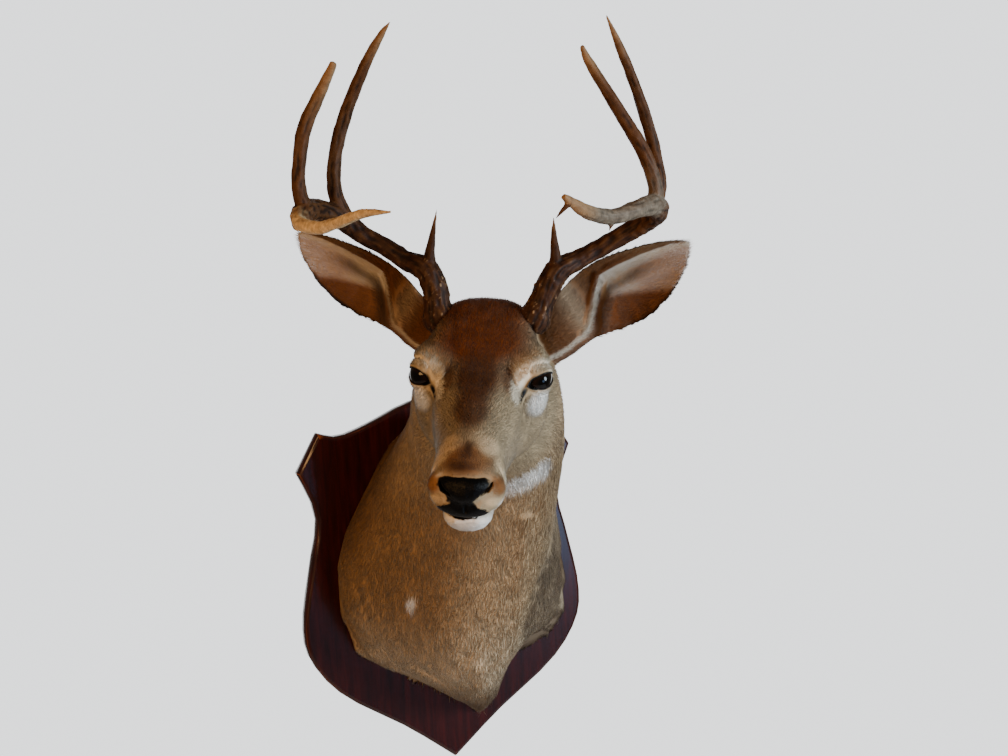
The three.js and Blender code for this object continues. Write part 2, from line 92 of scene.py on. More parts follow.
def alongRun(points, run):  # distance from a chain of short lines
    gaps = []
    for start, end in zip(np.array(run[:-1], float), np.array(run[1:], float)):
        span = end - start
        share = np.clip(((points - start) @ span) / (span @ span), 0, 1)
        gaps.append(np.linalg.norm(points - start - share[:, None] * span, axis=1))
    return np.min(gaps, axis=0)


def waves(points, size, seed, count=14):  # a smooth random field: a few waves about `size` long
    field = np.random.default_rng(seed)
    heading = unit(field.normal(size=(count, 3)))
    pace = field.uniform(0.6, 1.6, count) * 2 * math.pi / size
    phase = field.uniform(0, 2 * math.pi, count)
    return np.sin(points @ (heading * pace[:, None]).T + phase).sum(1) / math.sqrt(count / 2)


def tone(red, green, blue):  # display colour 0-255 to the renderer's scale
    c = np.array((red, green, blue)) / 255
    return np.where(c < 0.04045, c / 12.92, ((c + 0.055) / 1.055) ** 2.4)


def over(base, colour, share):  # one colour over another, by its share at each place
    return base + (np.asarray(colour) - base) * np.clip(share, 0, 1)[:, None]


def layered(ground, tones, layers):  # a ground tone with others laid over it in turn
    for name, share in layers:
        ground = over(ground, tones[name], share)
    return ground


# Finishes: sums on sockets are written as plain expressions.


class Wire:  # a shader socket that takes part in sums
    def __init__(self, finish, socket):
        self.finish = finish
        self.socket = socket

    def math(self, operation, *values):
        return self.finish.node("ShaderNodeMath", {"operation": operation}, dict(enumerate(values)))

    def __add__(self, other):
        return self.math("ADD", self, other)

    def __radd__(self, other):
        return self.math("ADD", other, self)

    def __sub__(self, other):
        return self.math("SUBTRACT", self, other)

    def __rsub__(self, other):
        return self.math("SUBTRACT", other, self)

    def __mul__(self, other):
        return self.math("MULTIPLY", self, other)

    def __rmul__(self, other):
        return self.math("MULTIPLY", other, self)


class NodeTree:  # the nodes of a material or a world
    def __init__(self, owner, shader, **constants):
        self.owner = owner
        owner.use_nodes = True
        self.tree = owner.node_tree
        self.shader = self.tree.nodes[shader]
        self.shade(**constants)

    def node(self, kind, settings=None, sockets=None, out=0):
        made = self.tree.nodes.new(kind)
        for name, value in (settings or {}).items():
            if name == "stops":
                self.ramp(made.color_ramp, value)
            else:
                setattr(made, name, value)
        for key, value in (sockets or {}).items():
            self.feed(made.inputs[key], value)
        return Wire(self, made.outputs[out])

    def ramp(self, ramp, stops):
        while len(ramp.elements) < len(stops):
            ramp.elements.new(1)
        for element, (place, colour) in zip(ramp.elements, stops):
            element.position = place
            element.color = (*colour, 1)

    def feed(self, socket, value):
        if isinstance(value, Wire):
            self.tree.links.new(value.socket, socket)
        else:
            socket.default_value = value

    def shade(self, **sockets):
        for name, value in sockets.items():
            self.feed(self.shader.inputs[name.replace("_", " ")], value)
        return self.owner

    def attribute(self, name, out=0):
        return self.node("ShaderNodeAttribute", {"attribute_name": name}, out=out)

    def mix(self, first, second, factor, blend="MIX"):
        return self.node("ShaderNodeMix", {"data_type": "RGBA", "blend_type": blend},
                         {0: factor, 6: first, 7: second}, out=2)

    def places(self, scale=(1, 1, 1)):
        coordinates = self.node("ShaderNodeTexCoord", out=3)
        return self.node("ShaderNodeMapping", {}, {"Vector": coordinates, "Scale": scale})

    def noise(self, vector, scale, detail=3, roughness=0.5, distortion=0.0):
        return self.node("ShaderNodeTexNoise", {}, {"Vector": vector, "Scale": scale, "Detail": detail,
                                                   "Roughness": roughness, "Distortion": distortion})

    def bump(self, height, strength, distance):
        return self.node("ShaderNodeBump", {}, {"Height": height, "Strength": strength, "Distance": distance})


def colour4(values):
    return (*map(float, values), 1)


def newFinish(name, **constants):
    return NodeTree(bpy.data.materials.new(name), "Principled BSDF", **constants)


def coatFinish():
    finish = newFinish("coat", Roughness=0.58, Specular_IOR_Level=0.13, Sheen_Weight=0.02,
                       Sheen_Roughness=0.5)
    return finish.shade(Base_Color=finish.attribute("coatColour"))


def skinFinish():
    finish = newFinish("skin", Specular_IOR_Level=0.1)
    place = finish.places()
    bare = finish.attribute("bareSkin", out=2)
    mottle = finish.noise(place, 420, 4)
    soiled = mottle * (0.15 - 0.15 * bare)
    shaded = finish.mix(finish.attribute("coatColour"), colour4(tone(40, 26, 16)), soiled)
    pebble = finish.node("ShaderNodeTexVoronoi", {"feature": "DISTANCE_TO_EDGE"},
                         {"Vector": place, "Scale": 620})
    height = mottle * (1 - bare) * 0.5 + pebble * bare * 1.6
    return finish.shade(Base_Color=shaded, Roughness=0.75 - 0.38 * bare,
                        Normal=finish.bump(height, 0.5, 0.0006))


def eyeFinish():
    finish = newFinish("eye", Roughness=0.05, Specular_IOR_Level=0.2)
    iris = finish.node("ShaderNodeValToRGB", {"stops": [
        (0.0, tone(3, 3, 3)), (0.45, tone(5, 4, 3)), (0.7, tone(24, 12, 6)), (0.9, tone(15, 8, 4)),
        (1.0, tone(5, 4, 3))]}, {0: finish.attribute("fromPupil", out=2)})
    return finish.shade(Base_Color=iris)


def antlerFinish():
    finish = newFinish("antler", Specular_IOR_Level=0.14)
    fine = finish.noise(finish.places(), 900, 5, 0.65)
    stain = finish.noise(finish.places(), 130, 5, 0.6)
    worn = finish.attribute("antlerColour")
    stained = finish.mix(worn, colour4(tone(112, 84, 60)), 1.0, "MULTIPLY")
    return finish.shade(Base_Color=finish.mix(worn, stained, stain * 1.1 - 0.15),
                        Roughness=0.66 - 0.16 * finish.attribute("ridge", out=2),
                        Normal=finish.bump(fine, 0.45, 0.0005))


def mahoganyFinish():
    finish = newFinish("mahogany", Specular_IOR_Level=0.15, Coat_Weight=0.5, Coat_Roughness=0.16,
                       Coat_IOR=1.5)
    wander = finish.noise(finish.places(), 3.5, 2)
    streaks = finish.noise(finish.places((26, 26, 2.2)), 5.5, 6, 0.62, wander * 0.8)
    pores = finish.noise(finish.places((240, 240, 9)), 4.0, 3, 0.7)
    wood = finish.node("ShaderNodeValToRGB", {"stops": [
        (0.3, tone(28, 5, 6)), (0.5, tone(50, 10, 9)), (0.72, tone(70, 17, 13))]}, {0: streaks})
    deep = finish.mix(wood, colour4(tone(18, 3, 4)), pores * 0.45)
    # pale edge wear with a painted highlight over it, strongest at the cut corner
    worn = finish.mix(deep, colour4(tone(148, 84, 52)), finish.attribute("wornEdge", out=2))
    return finish.shade(Base_Color=worn, Roughness=0.3 + 0.12 * pores,
                        Normal=finish.bump(pores, 0.12, 0.0002))


def floorFinish():
    return newFinish("floor", Roughness=0.9).shade(Base_Color=colour4(tone(235, 233, 230)))


# Mesh helpers


def nodeCopy(name, swell=0.0):  # a merged copy of a CAD node, grown a little along its normals
    shape = bmesh.new()
    shape.from_mesh(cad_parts[name].data)
    bmesh.ops.remove_doubles(shape, verts=shape.verts, dist=1e-5)
    shape.normal_update()
    for vert in shape.verts:
        vert.co += vert.normal * swell
    return shape


def meshFrom(shape, name):
    mesh = bpy.data.meshes.new(name)
    shape.to_mesh(mesh)
    shape.free()
    return mesh


def joined(parts, name):  # one mesh from several, which it uses up
    whole = bmesh.new()
    for part in parts:
        whole.from_mesh(part)
        bpy.data.meshes.remove(part)
    return meshFrom(whole, name)


def placed(mesh, name, material):
    piece = bpy.data.objects.new(name, mesh)
    bpy.context.scene.collection.objects.link(piece)
    mesh.materials.clear()
    mesh.materials.append(material)
    return piece


def given(thing, **settings):  # a thing with several of its properties set
    for name, value in settings.items():
        setattr(thing, name, value)
    return thing


def applied(piece, kind, **settings):  # the piece's mesh after one modifier
    given(piece.modifiers.new(kind.lower(), kind), **settings)
    graph = bpy.context.evaluated_depsgraph_get()
    old, piece.data = piece.data, bpy.data.meshes.new_from_object(piece.evaluated_get(graph))
    piece.modifiers.clear()
    bpy.data.meshes.remove(old)
    return piece.data


def read(items, key, width, kind=float):  # a row of numbers for every vertex, edge or corner
    values = np.empty(len(items) * width, kind)
    items.foreach_get(key, values)
    return values.reshape(-1, width)


def places(mesh):
    return read(mesh.vertices, "co", 3)


def normalsOf(mesh):
    return read(mesh.vertex_normals, "vector", 3)


def edgesOf(mesh):
    return read(mesh.edges, "vertices", 2, np.int32)


def move(mesh, points):
    mesh.vertices.foreach_set("co", np.ascontiguousarray(points, dtype=np.float32).ravel())
    mesh.update()


def trianglesOf(mesh):  # the vertices and the face corners of every triangle
    mesh.calc_loop_triangles()
    return [read(mesh.loop_triangles, key, 3, np.int32) for key in ("vertices", "loops")]


def areasOf(points, triangles):
    a, b, c = (points[triangles[:, k]] for k in range(3))
    return np.linalg.norm(np.cross(b - a, c - a), axis=1) / 2


def blurred(values, edges, passes, share=0.5):  # averages a value on the vertices with its neighbours
    values = np.array(values, float)
    flat = values.reshape(len(values), -1)
    degree = np.bincount(edges.ravel(), minlength=len(flat))[:, None]
    for _ in range(passes):
        total = np.zeros_like(flat)
        for column in range(flat.shape[1]):
            total[:, column] = np.bincount(edges[:, 0], flat[edges[:, 1], column], len(flat))
            total[:, column] += np.bincount(edges[:, 1], flat[edges[:, 0], column], len(flat))
        flat = flat + share * (total / np.maximum(degree, 1) - flat)
    return flat.reshape(values.shape)


def settled(values, edges, passes):  # smooths without shrinking
    for _ in range(passes):
        values = blurred(values, edges, 1, 0.5)
        values = blurred(values, edges, 1, -0.52)
    return values


def store(mesh, name, values):  # a float or colour attribute on the vertices
    values = np.asarray(values, float)
    if values.ndim == 1:
        mesh.attributes.new(name, "FLOAT", "POINT").data.foreach_set("value", values.astype(np.float32))
        return
    full = np.ones((len(values), 4), np.float32)
    full[:, :3] = np.clip(values, 0, 1)
    mesh.attributes.new(name, "FLOAT_COLOR", "POINT").data.foreach_set("color", full.ravel())


def smoothShaded(mesh):
    mesh.polygons.foreach_set("use_smooth", np.ones(len(mesh.polygons), bool))


# Plaque: places of the cut corner are across and up, in millimetres. Its rounded edges carry pale wear with a
# painted highlight over it, strongest at the cut corner.
plaque = {"bevelAngle": 25, "edgeRound": 1.2 * mm, "thinFace": 14, "wearAndSheen": 0.22, "flatFace": 0.97,
          "cut": [(-192.6, 164.5), (-162.7, 214.5)], "cutReach": 7, "backEdge": -3}


def edgeWearAndHighlights(mesh):  # the rounded edges, worn pale with a painted highlight, strongly at the cut corner and a little elsewhere
    triangles = trianglesOf(mesh)[0]
    points = places(mesh) / mm
    widest = np.zeros(len(points))
    np.maximum.at(widest, triangles.ravel(), np.repeat(areasOf(points, triangles), 3))
    cutCornerWearAndHighlight = ease(plaque["cutReach"], 2, alongRun(points[:, [0, 2]], plaque["cut"]))
    share = plaque["wearAndSheen"] * (0.6 + 0.5 * waves(points, 45, 12))
    share += cutCornerWearAndHighlight * (0.75 + 0.3 * waves(points, 16, 13))
    return np.clip(share, 0, 1) * (widest < plaque["thinFace"]) * (points[:, 1] < plaque["backEdge"])


def buildPlaque():
    shape = nodeCopy("plaque")
    bmesh.ops.dissolve_limit(shape, angle_limit=math.radians(1), verts=shape.verts, edges=shape.edges)
    board = placed(meshFrom(shape, "plaque_board"), "plaque_board", mahoganyFinish())
    applied(board, "BEVEL", width=plaque["edgeRound"], segments=3, limit_method="ANGLE",
            angle_limit=math.radians(plaque["bevelAngle"]), harden_normals=True)
    mesh = applied(board, "TRIANGULATE")
    curved = [abs(face.normal.y) < plaque["flatFace"] for face in mesh.polygons]
    mesh.polygons.foreach_set("use_smooth", curved)
    store(mesh, "wornEdge", edgeWearAndHighlights(mesh))
    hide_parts("plaque")
    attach(board, "root")


buildPlaque()
print("plaque done")

# Skin. Its faces are split in four round the eye sockets, on the muzzle and again at the lids.
fleshNodes = ["head", "lower_jaw", "nose_pad", "ear_left", "ear_right", "neck", "chest",
              "shoulder_left", "shoulder_right"]
skin = {"swell": 0.35 * mm, "voxel": 2.2 * mm, "bodyShare": 0.4, "headEnd": 104, "settle": 22,
        "bodyPasses": 36, "rimPasses": 6,
        "socket": {"middle": (55, -12), "reach": 31, "z": 4, "tall": 27}, "muzzle": -151.5,
        "lids": {"middle": (57, -18, 4), "reach": 21.3}, "earReach": 0.02}

# Eyes: the middle of the ball, its radius, and the lid opening as an almond seen from the front of the eye.
eye = {"x": 55, "y": -9, "z": 6.5, "radius": 18, "half": 18.4, "above": 7.8, "below": 6.7,
       "turn": 42, "tilt": 5, "lid": 1.3, "behind": 3.0, "bulge": 1.1, "pupil": (8.5, 5.5)}

# Depth of the coat over the skin, in millimetres.
coatDepth = {"muzzle": 0.9, "face": 1.6, "crown": 2.6, "neck": 3.8, "chest": 4.4, "ear": 0.7}


def joinedFlesh():
    nodes = fleshNodes + ["eye_left", "eye_right"]
    return joined([meshFrom(nodeCopy(name, skin["swell"]), "part") for name in nodes], "skin")


def largestIsland(mesh):  # drops loose shells inside the skin
    shape = bmesh.new()
    shape.from_mesh(mesh)
    front = [max(shape.verts, key=lambda vert: -vert.co.y)]
    found = set(front)
    while front:
        vert = front.pop()
        for edge in vert.link_edges:
            other = edge.other_vert(vert)
            if other not in found:
                found.add(other)
                front.append(other)
    bmesh.ops.delete(shape, geom=[vert for vert in shape.verts if vert not in found], context="VERTS")
    shape.to_mesh(mesh)
    shape.free()


def thinBody(piece):  # fewer faces behind the head, where the coat hides the skin
    x, y, z = toHead(places(piece.data)).T
    body = np.flatnonzero((y > skin["headEnd"]) & ~((np.abs(x) > 66) & (z > 20)))
    group = piece.vertex_groups.new(name="body")
    group.add(body.tolist(), 1.0, "REPLACE")
    applied(piece, "DECIMATE", ratio=skin["bodyShare"], vertex_group="body", vertex_group_factor=1)
    piece.vertex_groups.clear()


def refine(mesh, chosen):  # splits the edges that have both ends in the chosen places
    inside = chosen(mirroredAbs(toHead(places(mesh))))
    shape = bmesh.new()
    shape.from_mesh(mesh)
    edges = [edge for edge in shape.edges if all(inside[vert.index] for vert in edge.verts)]
    bmesh.ops.subdivide_edges(shape, edges=edges, cuts=1, use_grid_fill=True)
    shape.to_mesh(mesh)
    shape.free()


def inSocket(head):
    socket = skin["socket"]
    flat = np.linalg.norm(head[:, :2] - socket["middle"], axis=1)
    return (flat < socket["reach"]) & (np.abs(head[:, 2] - socket["z"]) < socket["tall"])


def inMuzzle(head):
    return head[:, 1] < skin["muzzle"]


def inLids(head):
    return np.linalg.norm(head - skin["lids"]["middle"], axis=1) < skin["lids"]["reach"]


def eyeMiddle(side):
    return np.array((side * eye["x"], eye["y"], eye["z"]))


def eyeView(head, side):  # outward, up and forward of an eye's middle, and distance from it
    turn, tilt = math.radians(eye["turn"]), math.radians(eye["tilt"])
    offset = head - eyeMiddle(side)
    out = offset @ np.array((side * math.cos(turn), math.sin(turn), 0))
    forward = offset @ np.array((side * math.sin(turn), -math.cos(turn), 0))
    up = offset[:, 2]
    across = out * math.cos(tilt) + up * math.sin(tilt)
    rise = up * math.cos(tilt) - out * math.sin(tilt)
    return across, rise, forward, np.linalg.norm(offset, axis=1)


def lidEdge(across, rise):  # about how far outside the almond a point is; negative inside
    share = 1 - (across / eye["half"]) ** 2
    edges = [(height - eye[lid] * share) / np.hypot(1, 2 * eye[lid] * across / eye["half"] ** 2)
             for height, lid in ((rise, "above"), (-rise, "below"))]
    return np.maximum(*edges)


def shapeLids(head, side):
    across, rise, forward, distance = eyeView(head, side)
    edge = lidEdge(across, rise)
    facing = ease(-2, 4, forward) * (distance < 34)
    cover = eye["radius"] + eye["lid"] + 0.5 * ease(0, 8, edge)
    fold = 0.9 * bell(edge - 5.2, 1.1) * (rise > 0) * ease(19, 8, np.abs(across))
    swell = 0.8 * bell(edge - 2.2, 1.6)
    outside = np.maximum(distance + (swell - fold) * (distance < 30), cover)
    corner = ease(12.5, 17, np.abs(across))
    cornerDepth = np.minimum(distance - 1.5, eye["radius"] + 0.6)
    hollow = (1 - corner) * (eye["radius"] - eye["behind"]) + corner * cornerDepth
    opening = ease(0.25, -0.45, edge)
    wanted = outside * (1 - opening) + hollow * opening
    return head + unit(head - eyeMiddle(side)) * ((wanted - distance) * facing)[:, None]


# Dents and ridges of the face, on both sides: the run, its width and how far it is pushed out.
tearRun = [(46.5, -29, 3), (43, -48, -6)]
mouthRun = [(29, -160, -78.5), (31, -112, -76)]
faceLines = [
    (tearRun, 1.7, -2.6),
    ([(49, -32, -5), (47, -48, -13)], 2.8, 0.8),  # fold below the tear slit
    ([(50, -20, 24), (72, 6, 24)], 5, 1.2),  # brow
    ([(27, -60, 12), (20, -120, -14)], 8, -0.6),  # edge of the bridge
    ([(44, -74, -36), (48, -44, -30)], 11, -0.6),  # hollow of the cheek
    ([(27, -173, -33), (31, -169, -50)], 4.2, 2.0),  # nostril's wing
    ([(33, -158, -34), (36, -156, -50)], 4.5, -1.3),  # behind the wing
    (mouthRun, 1.7, -2.6),
    ([(33, -158, -73.5), (33, -116, -71)], 3.4, 0.9),  # lip
    ([(57, 24, 36), (50, -14, 40)], 5, -0.8),  # vein of the temple
]
nostril = {"points": [(24, -43), (23, -46), (19.5, -50), (14.5, -52.5)], "widths": [0.9, 1.7, 2.4, 1.4],
           "depth": 7.2, "front": -162}
lipCut = {"z": -83, "half": 25, "sag": 3.0, "width": 1.6, "depth": 4.0, "front": -150}
philtrum = {"width": 1.2, "depth": 1.6, "top": -56, "bottom": -72}


def shapeFace(head, normals):
    for run, width, push in faceLines:
        for side in both:
            gap = alongRun(mirroredX(head, side), run)
            head = head + normals * (push * bell(gap, width))[:, None]
    return head


def nostrilDepth(head):  # 1 in the middle of a nostril's comma, 0 outside
    depth = np.zeros(len(head))
    flat = mirroredAbs(head)[:, [0, 2]]
    stops = list(zip(np.array(nostril["points"]), nostril["widths"]))
    for (start, width), (end, nextWidth) in zip(stops, stops[1:]):
        share = np.clip(((flat - start) @ (end - start)) / ((end - start) @ (end - start)), 0, 1)
        gap = np.linalg.norm(flat - start - share[:, None] * (end - start), axis=1)
        depth = np.maximum(depth, ease(1.15, 0.45, gap / (width + (nextWidth - width) * share)))
    return depth * (head[:, 1] < nostril["front"])


def pressed(head, depth):  # pushed back from the front of the nose
    return head + depth[:, None] * np.array((0, 1, 0))


def shapeNose(head):
    head = pressed(head, nostrilDepth(head) * nostril["depth"])
    x, y, z = head.T
    groove = bell(x, philtrum["width"]) * ease(philtrum["top"], philtrum["top"] - 5, z)
    groove *= (z > philtrum["bottom"]) * (y < nostril["front"])
    head = pressed(head, groove * philtrum["depth"])
    x, y, z = head.T
    cut = bell(z - lipCut["z"] - lipCut["sag"] * (x / lipCut["half"]) ** 2, lipCut["width"])
    cut *= (y < lipCut["front"]) * ease(lipCut["half"] + 6, lipCut["half"] - 2, np.abs(x))
    return pressed(head, cut * lipCut["depth"])


def partGaps(points):  # distance from each place to the ears, the head and the neck, where it is small
    gaps = {}
    for name in ("ear_left", "ear_right", "head", "neck"):
        shape = nodeCopy(name)
        tree = BVHTree.FromBMesh(shape)
        shape.free()
        found = (tree.find_nearest(Vector(point), 0.03)[3] for point in points)
        gaps[name] = np.array([1.0 if gap is None else gap for gap in found])
    return gaps


# Colours of the coat, in display values. The hollow tone is painted shadow for the ear's hollow; the shoulder
# tone is a browner shoulder with painted shade in it.
coatTones = {name: tone(*display) for name, display in {
    "cheek": (158, 138, 108), "crown": (112, 56, 11), "bridge": (84, 44, 10), "dark": (46, 21, 6),
    "pale": (196, 170, 134), "white": (236, 231, 222), "cream": (206, 184, 152), "wing": (122, 80, 42),
    "ring": (216, 202, 178), "neck": (168, 142, 108), "flank": (148, 115, 76), "shoulder": (66, 45, 25),
    "nape": (84, 54, 28), "chest": (204, 186, 156), "brisket": (86, 64, 42), "earBack": (96, 70, 44),
    "earInner": (190, 180, 168), "earRim": (42, 28, 19), "earLow": (108, 66, 34), "earPink": (166, 144, 130),
    "earWhite": (184, 172, 154), "earFront": (90, 54, 24), "black": (3, 3, 3), "greyTan": (150, 134, 110),
    "hollow": (62, 50, 40),
}.items()}
# Each mark is a soft egg in the head's frame: tone, middle, reach, strength, sides. Later ones lie on top.
headMarks = [
    ("crown", (0, 46, 74), (62, 62, 50), 1.0, once),
    ("earFront", (78, 62, 50), (26, 40, 32), 0.85, both),
    ("crown", (0, -12, 46), (54, 46, 27), 1.0, once),
    ("bridge", (0, -62, 22), (26, 54, 22), 0.95, once),
    ("bridge", (-3, -104, 2), (19, 36, 15), 0.85, once),
    ("bridge", (31, -44, 12), (9, 22, 14), 0.75, both),
    ("wing", (0, -158, -30), (27, 22, 17), 0.9, once),
    ("pale", (20, -142, -19), (12, 16, 11), 1.0, both),
    ("pale", (30, -155, -35), (6.5, 13, 10), 0.95, both),
    ("pale", (-25, -150, -29), (9, 14, 10), 1.0, once),
    ("dark", (-2, -166, -33), (17, 10, 7), 0.9, once),
    ("dark", (-1, -156, -27), (11, 10, 7), 0.85, once),
    ("dark", (0, -147, -22), (5, 11, 8), 0.8, once),
    ("wing", (30, -171, -47), (8, 9, 10), 0.95, both),
    ("pale", (27, -175, -62), (9.5, 9, 4.5), 0.9, both),
    ("white", (36, -156, -67), (10, 16, 6.5), 0.95, both),
    ("white", (30, -164, -76), (12, 14, 5), 1.0, both),
    ("greyTan", (44, -88, -62), (14, 34, 12), 0.7, both),
    ("white", (38, -96, -84), (28, 48, 13), 0.95, both),
    ("white", (0, -148, -96), (34, 32, 17), 1.0, once),
    ("white", (62, -22, -16), (15, 18, 13), 1.0, both),
    ("cream", (76, 8, 8), (7, 10, 14), 0.5, both),
]
eyeRingRun = [(38, -57, 0), (38.5, -46, 7), (42.5, -32, 13), (49, -22, 18.5), (59, -15, 21), (70, -8, 18)]
# Pale bands: tone, run, width, strength and sides.
headBands = [
    ("ring", eyeRingRun, 6.6, 0.95, both),
    ("white", [(28, 42, -142), (64, 57, -120)], 13, 1.0, once),  # throat patch
    ("ring", [(37, -150, -42), (40, -146, -58), (38, -150, -70)], 4.2, 0.85, both),  # edge of the lip
]
# Markings of the trunk, in the part's frame: the shoulder's front edge across at heights, and soft eggs.
trunkMarks = {"shoulderZ": (-60, -20, 40, 110), "shoulderX": (37, 33, 43, 62),
              "brisket": ((10, -105, -150), (80, 90, 70)), "spot": ((-102, -192, 21), (4.5, 14, 11))}
# Black skin of the nose and lip: half its width at heights, from the pad down through the waist to the lip.
noseBlack = {"z": (-86.5, -84.5, -81, -77, -73, -69, -66, -63, -59, -55, -51, -47, -43, -40, -38, -36.5),
             "half": (0, 12, 19.5, 23.5, 25.5, 23.5, 15.5, 11.8, 11.8, 16, 21.5, 24, 24.5, 23, 18, 0),
             "middleZ": (-85, -74, -61, -46, -36), "middle": (-3.2, -3.4, -4, -2, -1), "front": -154,
             "tearWidth": 3.1, "mouthWidth": 1.6}


def blackSkin(head):  # bare black skin of the nose, lips and lids, from 0 to 1
    x, y, z = head.T
    wide = np.interp(z, noseBlack["z"], noseBlack["half"], left=-9, right=-9) + 0.7 * waves(head, 6, 51)
    middle = np.interp(z, noseBlack["middleZ"], noseBlack["middle"])
    black = [ease(1.0, -1.0, np.abs(x - middle) - wide) * (y < noseBlack["front"])]
    for side in both:
        mirrored = mirroredX(head, side)
        black.append(ease(1.6, 0.6, alongRun(mirrored, tearRun) / noseBlack["tearWidth"]))
        black.append(ease(1.7, 0.7, alongRun(mirrored, mouthRun) / noseBlack["mouthWidth"]) * 0.6)
        across, rise, forward, distance = eyeView(head, side)
        rim = 1.2 + 0.9 * (rise > 0) + 1.2 * ease(-8, -17, across)
        lids = ease(rim + 0.8, rim - 0.4, lidEdge(across, rise))
        black.append(lids * (distance < 32) * (forward > -4))
    return np.clip(np.maximum.reduce(black), 0, 1)


def coatColours(points, normals, ears):  # the coat's colour at places of the skin
    head, body = toHead(points), points / mm
    x, y, z = body.T
    up = normals[:, 2]
    fold = np.interp(z, trunkMarks["shoulderZ"], trunkMarks["shoulderX"]) + 3 * waves(body, 24, 9)
    colours = layered(np.tile(coatTones["neck"], (len(points), 1)), coatTones, [
        ("flank", ease(52, 104, np.abs(x - 20)) * ease(250, 120, z)),
        # a browner shoulder beyond the crease on the +x side, darkened further with painted shade
        ("shoulder", ease(-2, 12, x - fold) * ease(190, 60, z) * 0.9),
        ("nape", ease(-0.1, 0.75, up) * 0.9),
        ("chest", ease(40, -120, z) * ease(0.2, -0.5, normals[:, 1]) * 0.75),
        ("greyTan", ease(20, 60, x) * ease(110, 84, x) * 0.5),
        ("brisket", near(body, *trunkMarks["brisket"]) * 0.9),
        ("white", ease(0.1, 0.6, near(body, *trunkMarks["spot"]))),
        # painted shade: darker close to the board, and on the downward-facing side near the board on the +x
        # side
        ("dark", ease(-30, -22, y) * 0.55),
        ("dark", ease(-70, -30, y) * ease(0, -0.5, up) * ease(20, 50, x) * 0.7),
        ("cheek", ease(92, 52, head[:, 1] + 0.45 * np.maximum(0, -head[:, 2] - 40))),
    ])
    for name, at, reach, strength, sides in headMarks:
        for side in sides:
            share = ease(0.12, 0.7, near(mirroredX(head, side), at, reach))
            colours = over(colours, coatTones[name], share * strength)
    frayed = 0.12 * waves(head, 8, 52)
    for name, run, width, strength, sides in headBands:
        for side in sides:
            share = ease(1.5, 0.5, alongRun(mirroredX(head, side), run) / width + frayed)
            colours = over(colours, coatTones[name], share * strength)
    patchy = waves(points, 0.045, 3) * 0.06 + waves(points, 0.014, 4) * 0.05
    return earColours(colours * (1 + patchy)[:, None], ears)


def earColours(colours, ears):  # brown outside and on the front fold, pale and pink inside, painted shadow in the hollow behind the fold, a dark rim
    weight, along, across, fold = (ears[key] for key in ("weight", "along", "across", "fold"))
    inner = ease(0.2, -0.15, ears["facing"])
    low = np.interp(along, (40, 60, 83, 104, 130), (-6, -14, -24, -33, -38))
    band = 3.5 + 6.5 * bell(along - 66, 30)
    plain = np.ones((len(along), 1))
    outer = layered(plain * coatTones["earBack"], coatTones, [
        ("earFront", inner * ease(110, 60, along)),
        ("cream", inner * bell(along - 12, 12) * ease(-14, -5, fold) * 0.35),
    ])
    inside = layered(plain * coatTones["earInner"], coatTones, [
        ("earPink", ease(66, 92, along) * ease(12, -6, across) * 0.75),
        ("earLow", ease(6, -6, across - low) * 0.95),
        # painted shadow in the hollow behind the front fold
        ("hollow", bell(fold + 19, 8) * ease(116, 70, along) * 0.85),
        ("earWhite", ease(1.5, 0.2, np.abs(fold + band) / band) * 0.8),
    ])
    inside = over(inside, outer, ease(-1.6, 0.8, fold))
    colours = over(colours, inside, weight * inner)
    colours = over(colours, outer, weight * (1 - inner))
    return over(colours, coatTones["earRim"], ears["rim"] * weight * 0.9)


# Ears: where each is rooted across and up in the head's frame, its scale and its width. Its own view runs
# along from its root, and across from its lower to its upper edge.
ear = {"rise": 35, "left": (84, 45, 1.0, 1.0), "right": (-82, 44, 0.97, 0.87)}
earEdges = {"along": (24, 42, 62, 82, 102, 120, 136, 148, 153),
            "low": (-38.5, -44, -48, -47, -42, -34, -24, -12, -5),
            "high": (32, 35, 35, 31.5, 26, 20, 13, 6, 2)}
# The front fold of the ear: its height across at places along, brown outside and hollow behind.
earFold = {"along": (4, 13, 26, 34, 51, 72, 102, 132, 150), "across": (-22, -20, -8, 1, 17, 17, 14, 8, 2),
           "ridge": 4.5, "hollow": 6.5, "rib": 1.3}


def earView(head):
    rise = math.radians(ear["rise"])
    isLeft = head[:, 0] > 0
    rootX, rootZ, scale, width = (np.where(isLeft, *values) for values in zip(ear["left"], ear["right"]))
    x = (head[:, 0] - rootX) * np.sign(head[:, 0]) / scale
    z = (head[:, 2] - rootZ) / scale
    return x * math.cos(rise) + z * math.sin(rise), (z * math.cos(rise) - x * math.sin(rise)) / width


def earFields(points, normals, gaps):  # what belongs to the ears, which side faces out, and the rim
    nearest = np.minimum(gaps["ear_left"], gaps["ear_right"])
    weight = ease(1.5 * mm, -1.5 * mm, nearest - np.minimum(gaps["head"], gaps["neck"]))
    along, across = earView(toHead(points))
    fold = across - np.interp(along, earFold["along"], earFold["across"])
    low, high = (np.interp(along, earEdges["along"], earEdges[edge]) for edge in ("low", "high"))
    rim = np.maximum(ease(4.2, 1.6, across - low), ease(3.5, 1.0, high - across)) * ease(40, 62, along)
    return {"weight": weight * (nearest < skin["earReach"]), "facing": normals @ headAxes[:, 1],
            "along": along, "across": across, "fold": fold, "rim": rim}


def shapeEars(head, ears):
    weight, along, fold, facing = (ears[key] for key in ("weight", "along", "fold", "facing"))
    ridge = earFold["ridge"] * bell(fold - 1.5, 3.6) * ease(128, 84, along) * ease(-2, 14, along)
    hollow = earFold["hollow"] * bell(fold + 13, 7) * ease(136, 96, along) * ease(8, 26, along)
    rib = earFold["rib"] * bell(fold + 27, 3.5) * ease(130, 90, along) * ease(20, 40, along)
    front = (hollow - ridge - rib) * weight * ease(0.35, -0.1, facing)
    back = (hollow - rib) * weight * ease(-0.1, 0.35, facing) * ease(52, 70, along)
    return pressed(head, front + back)


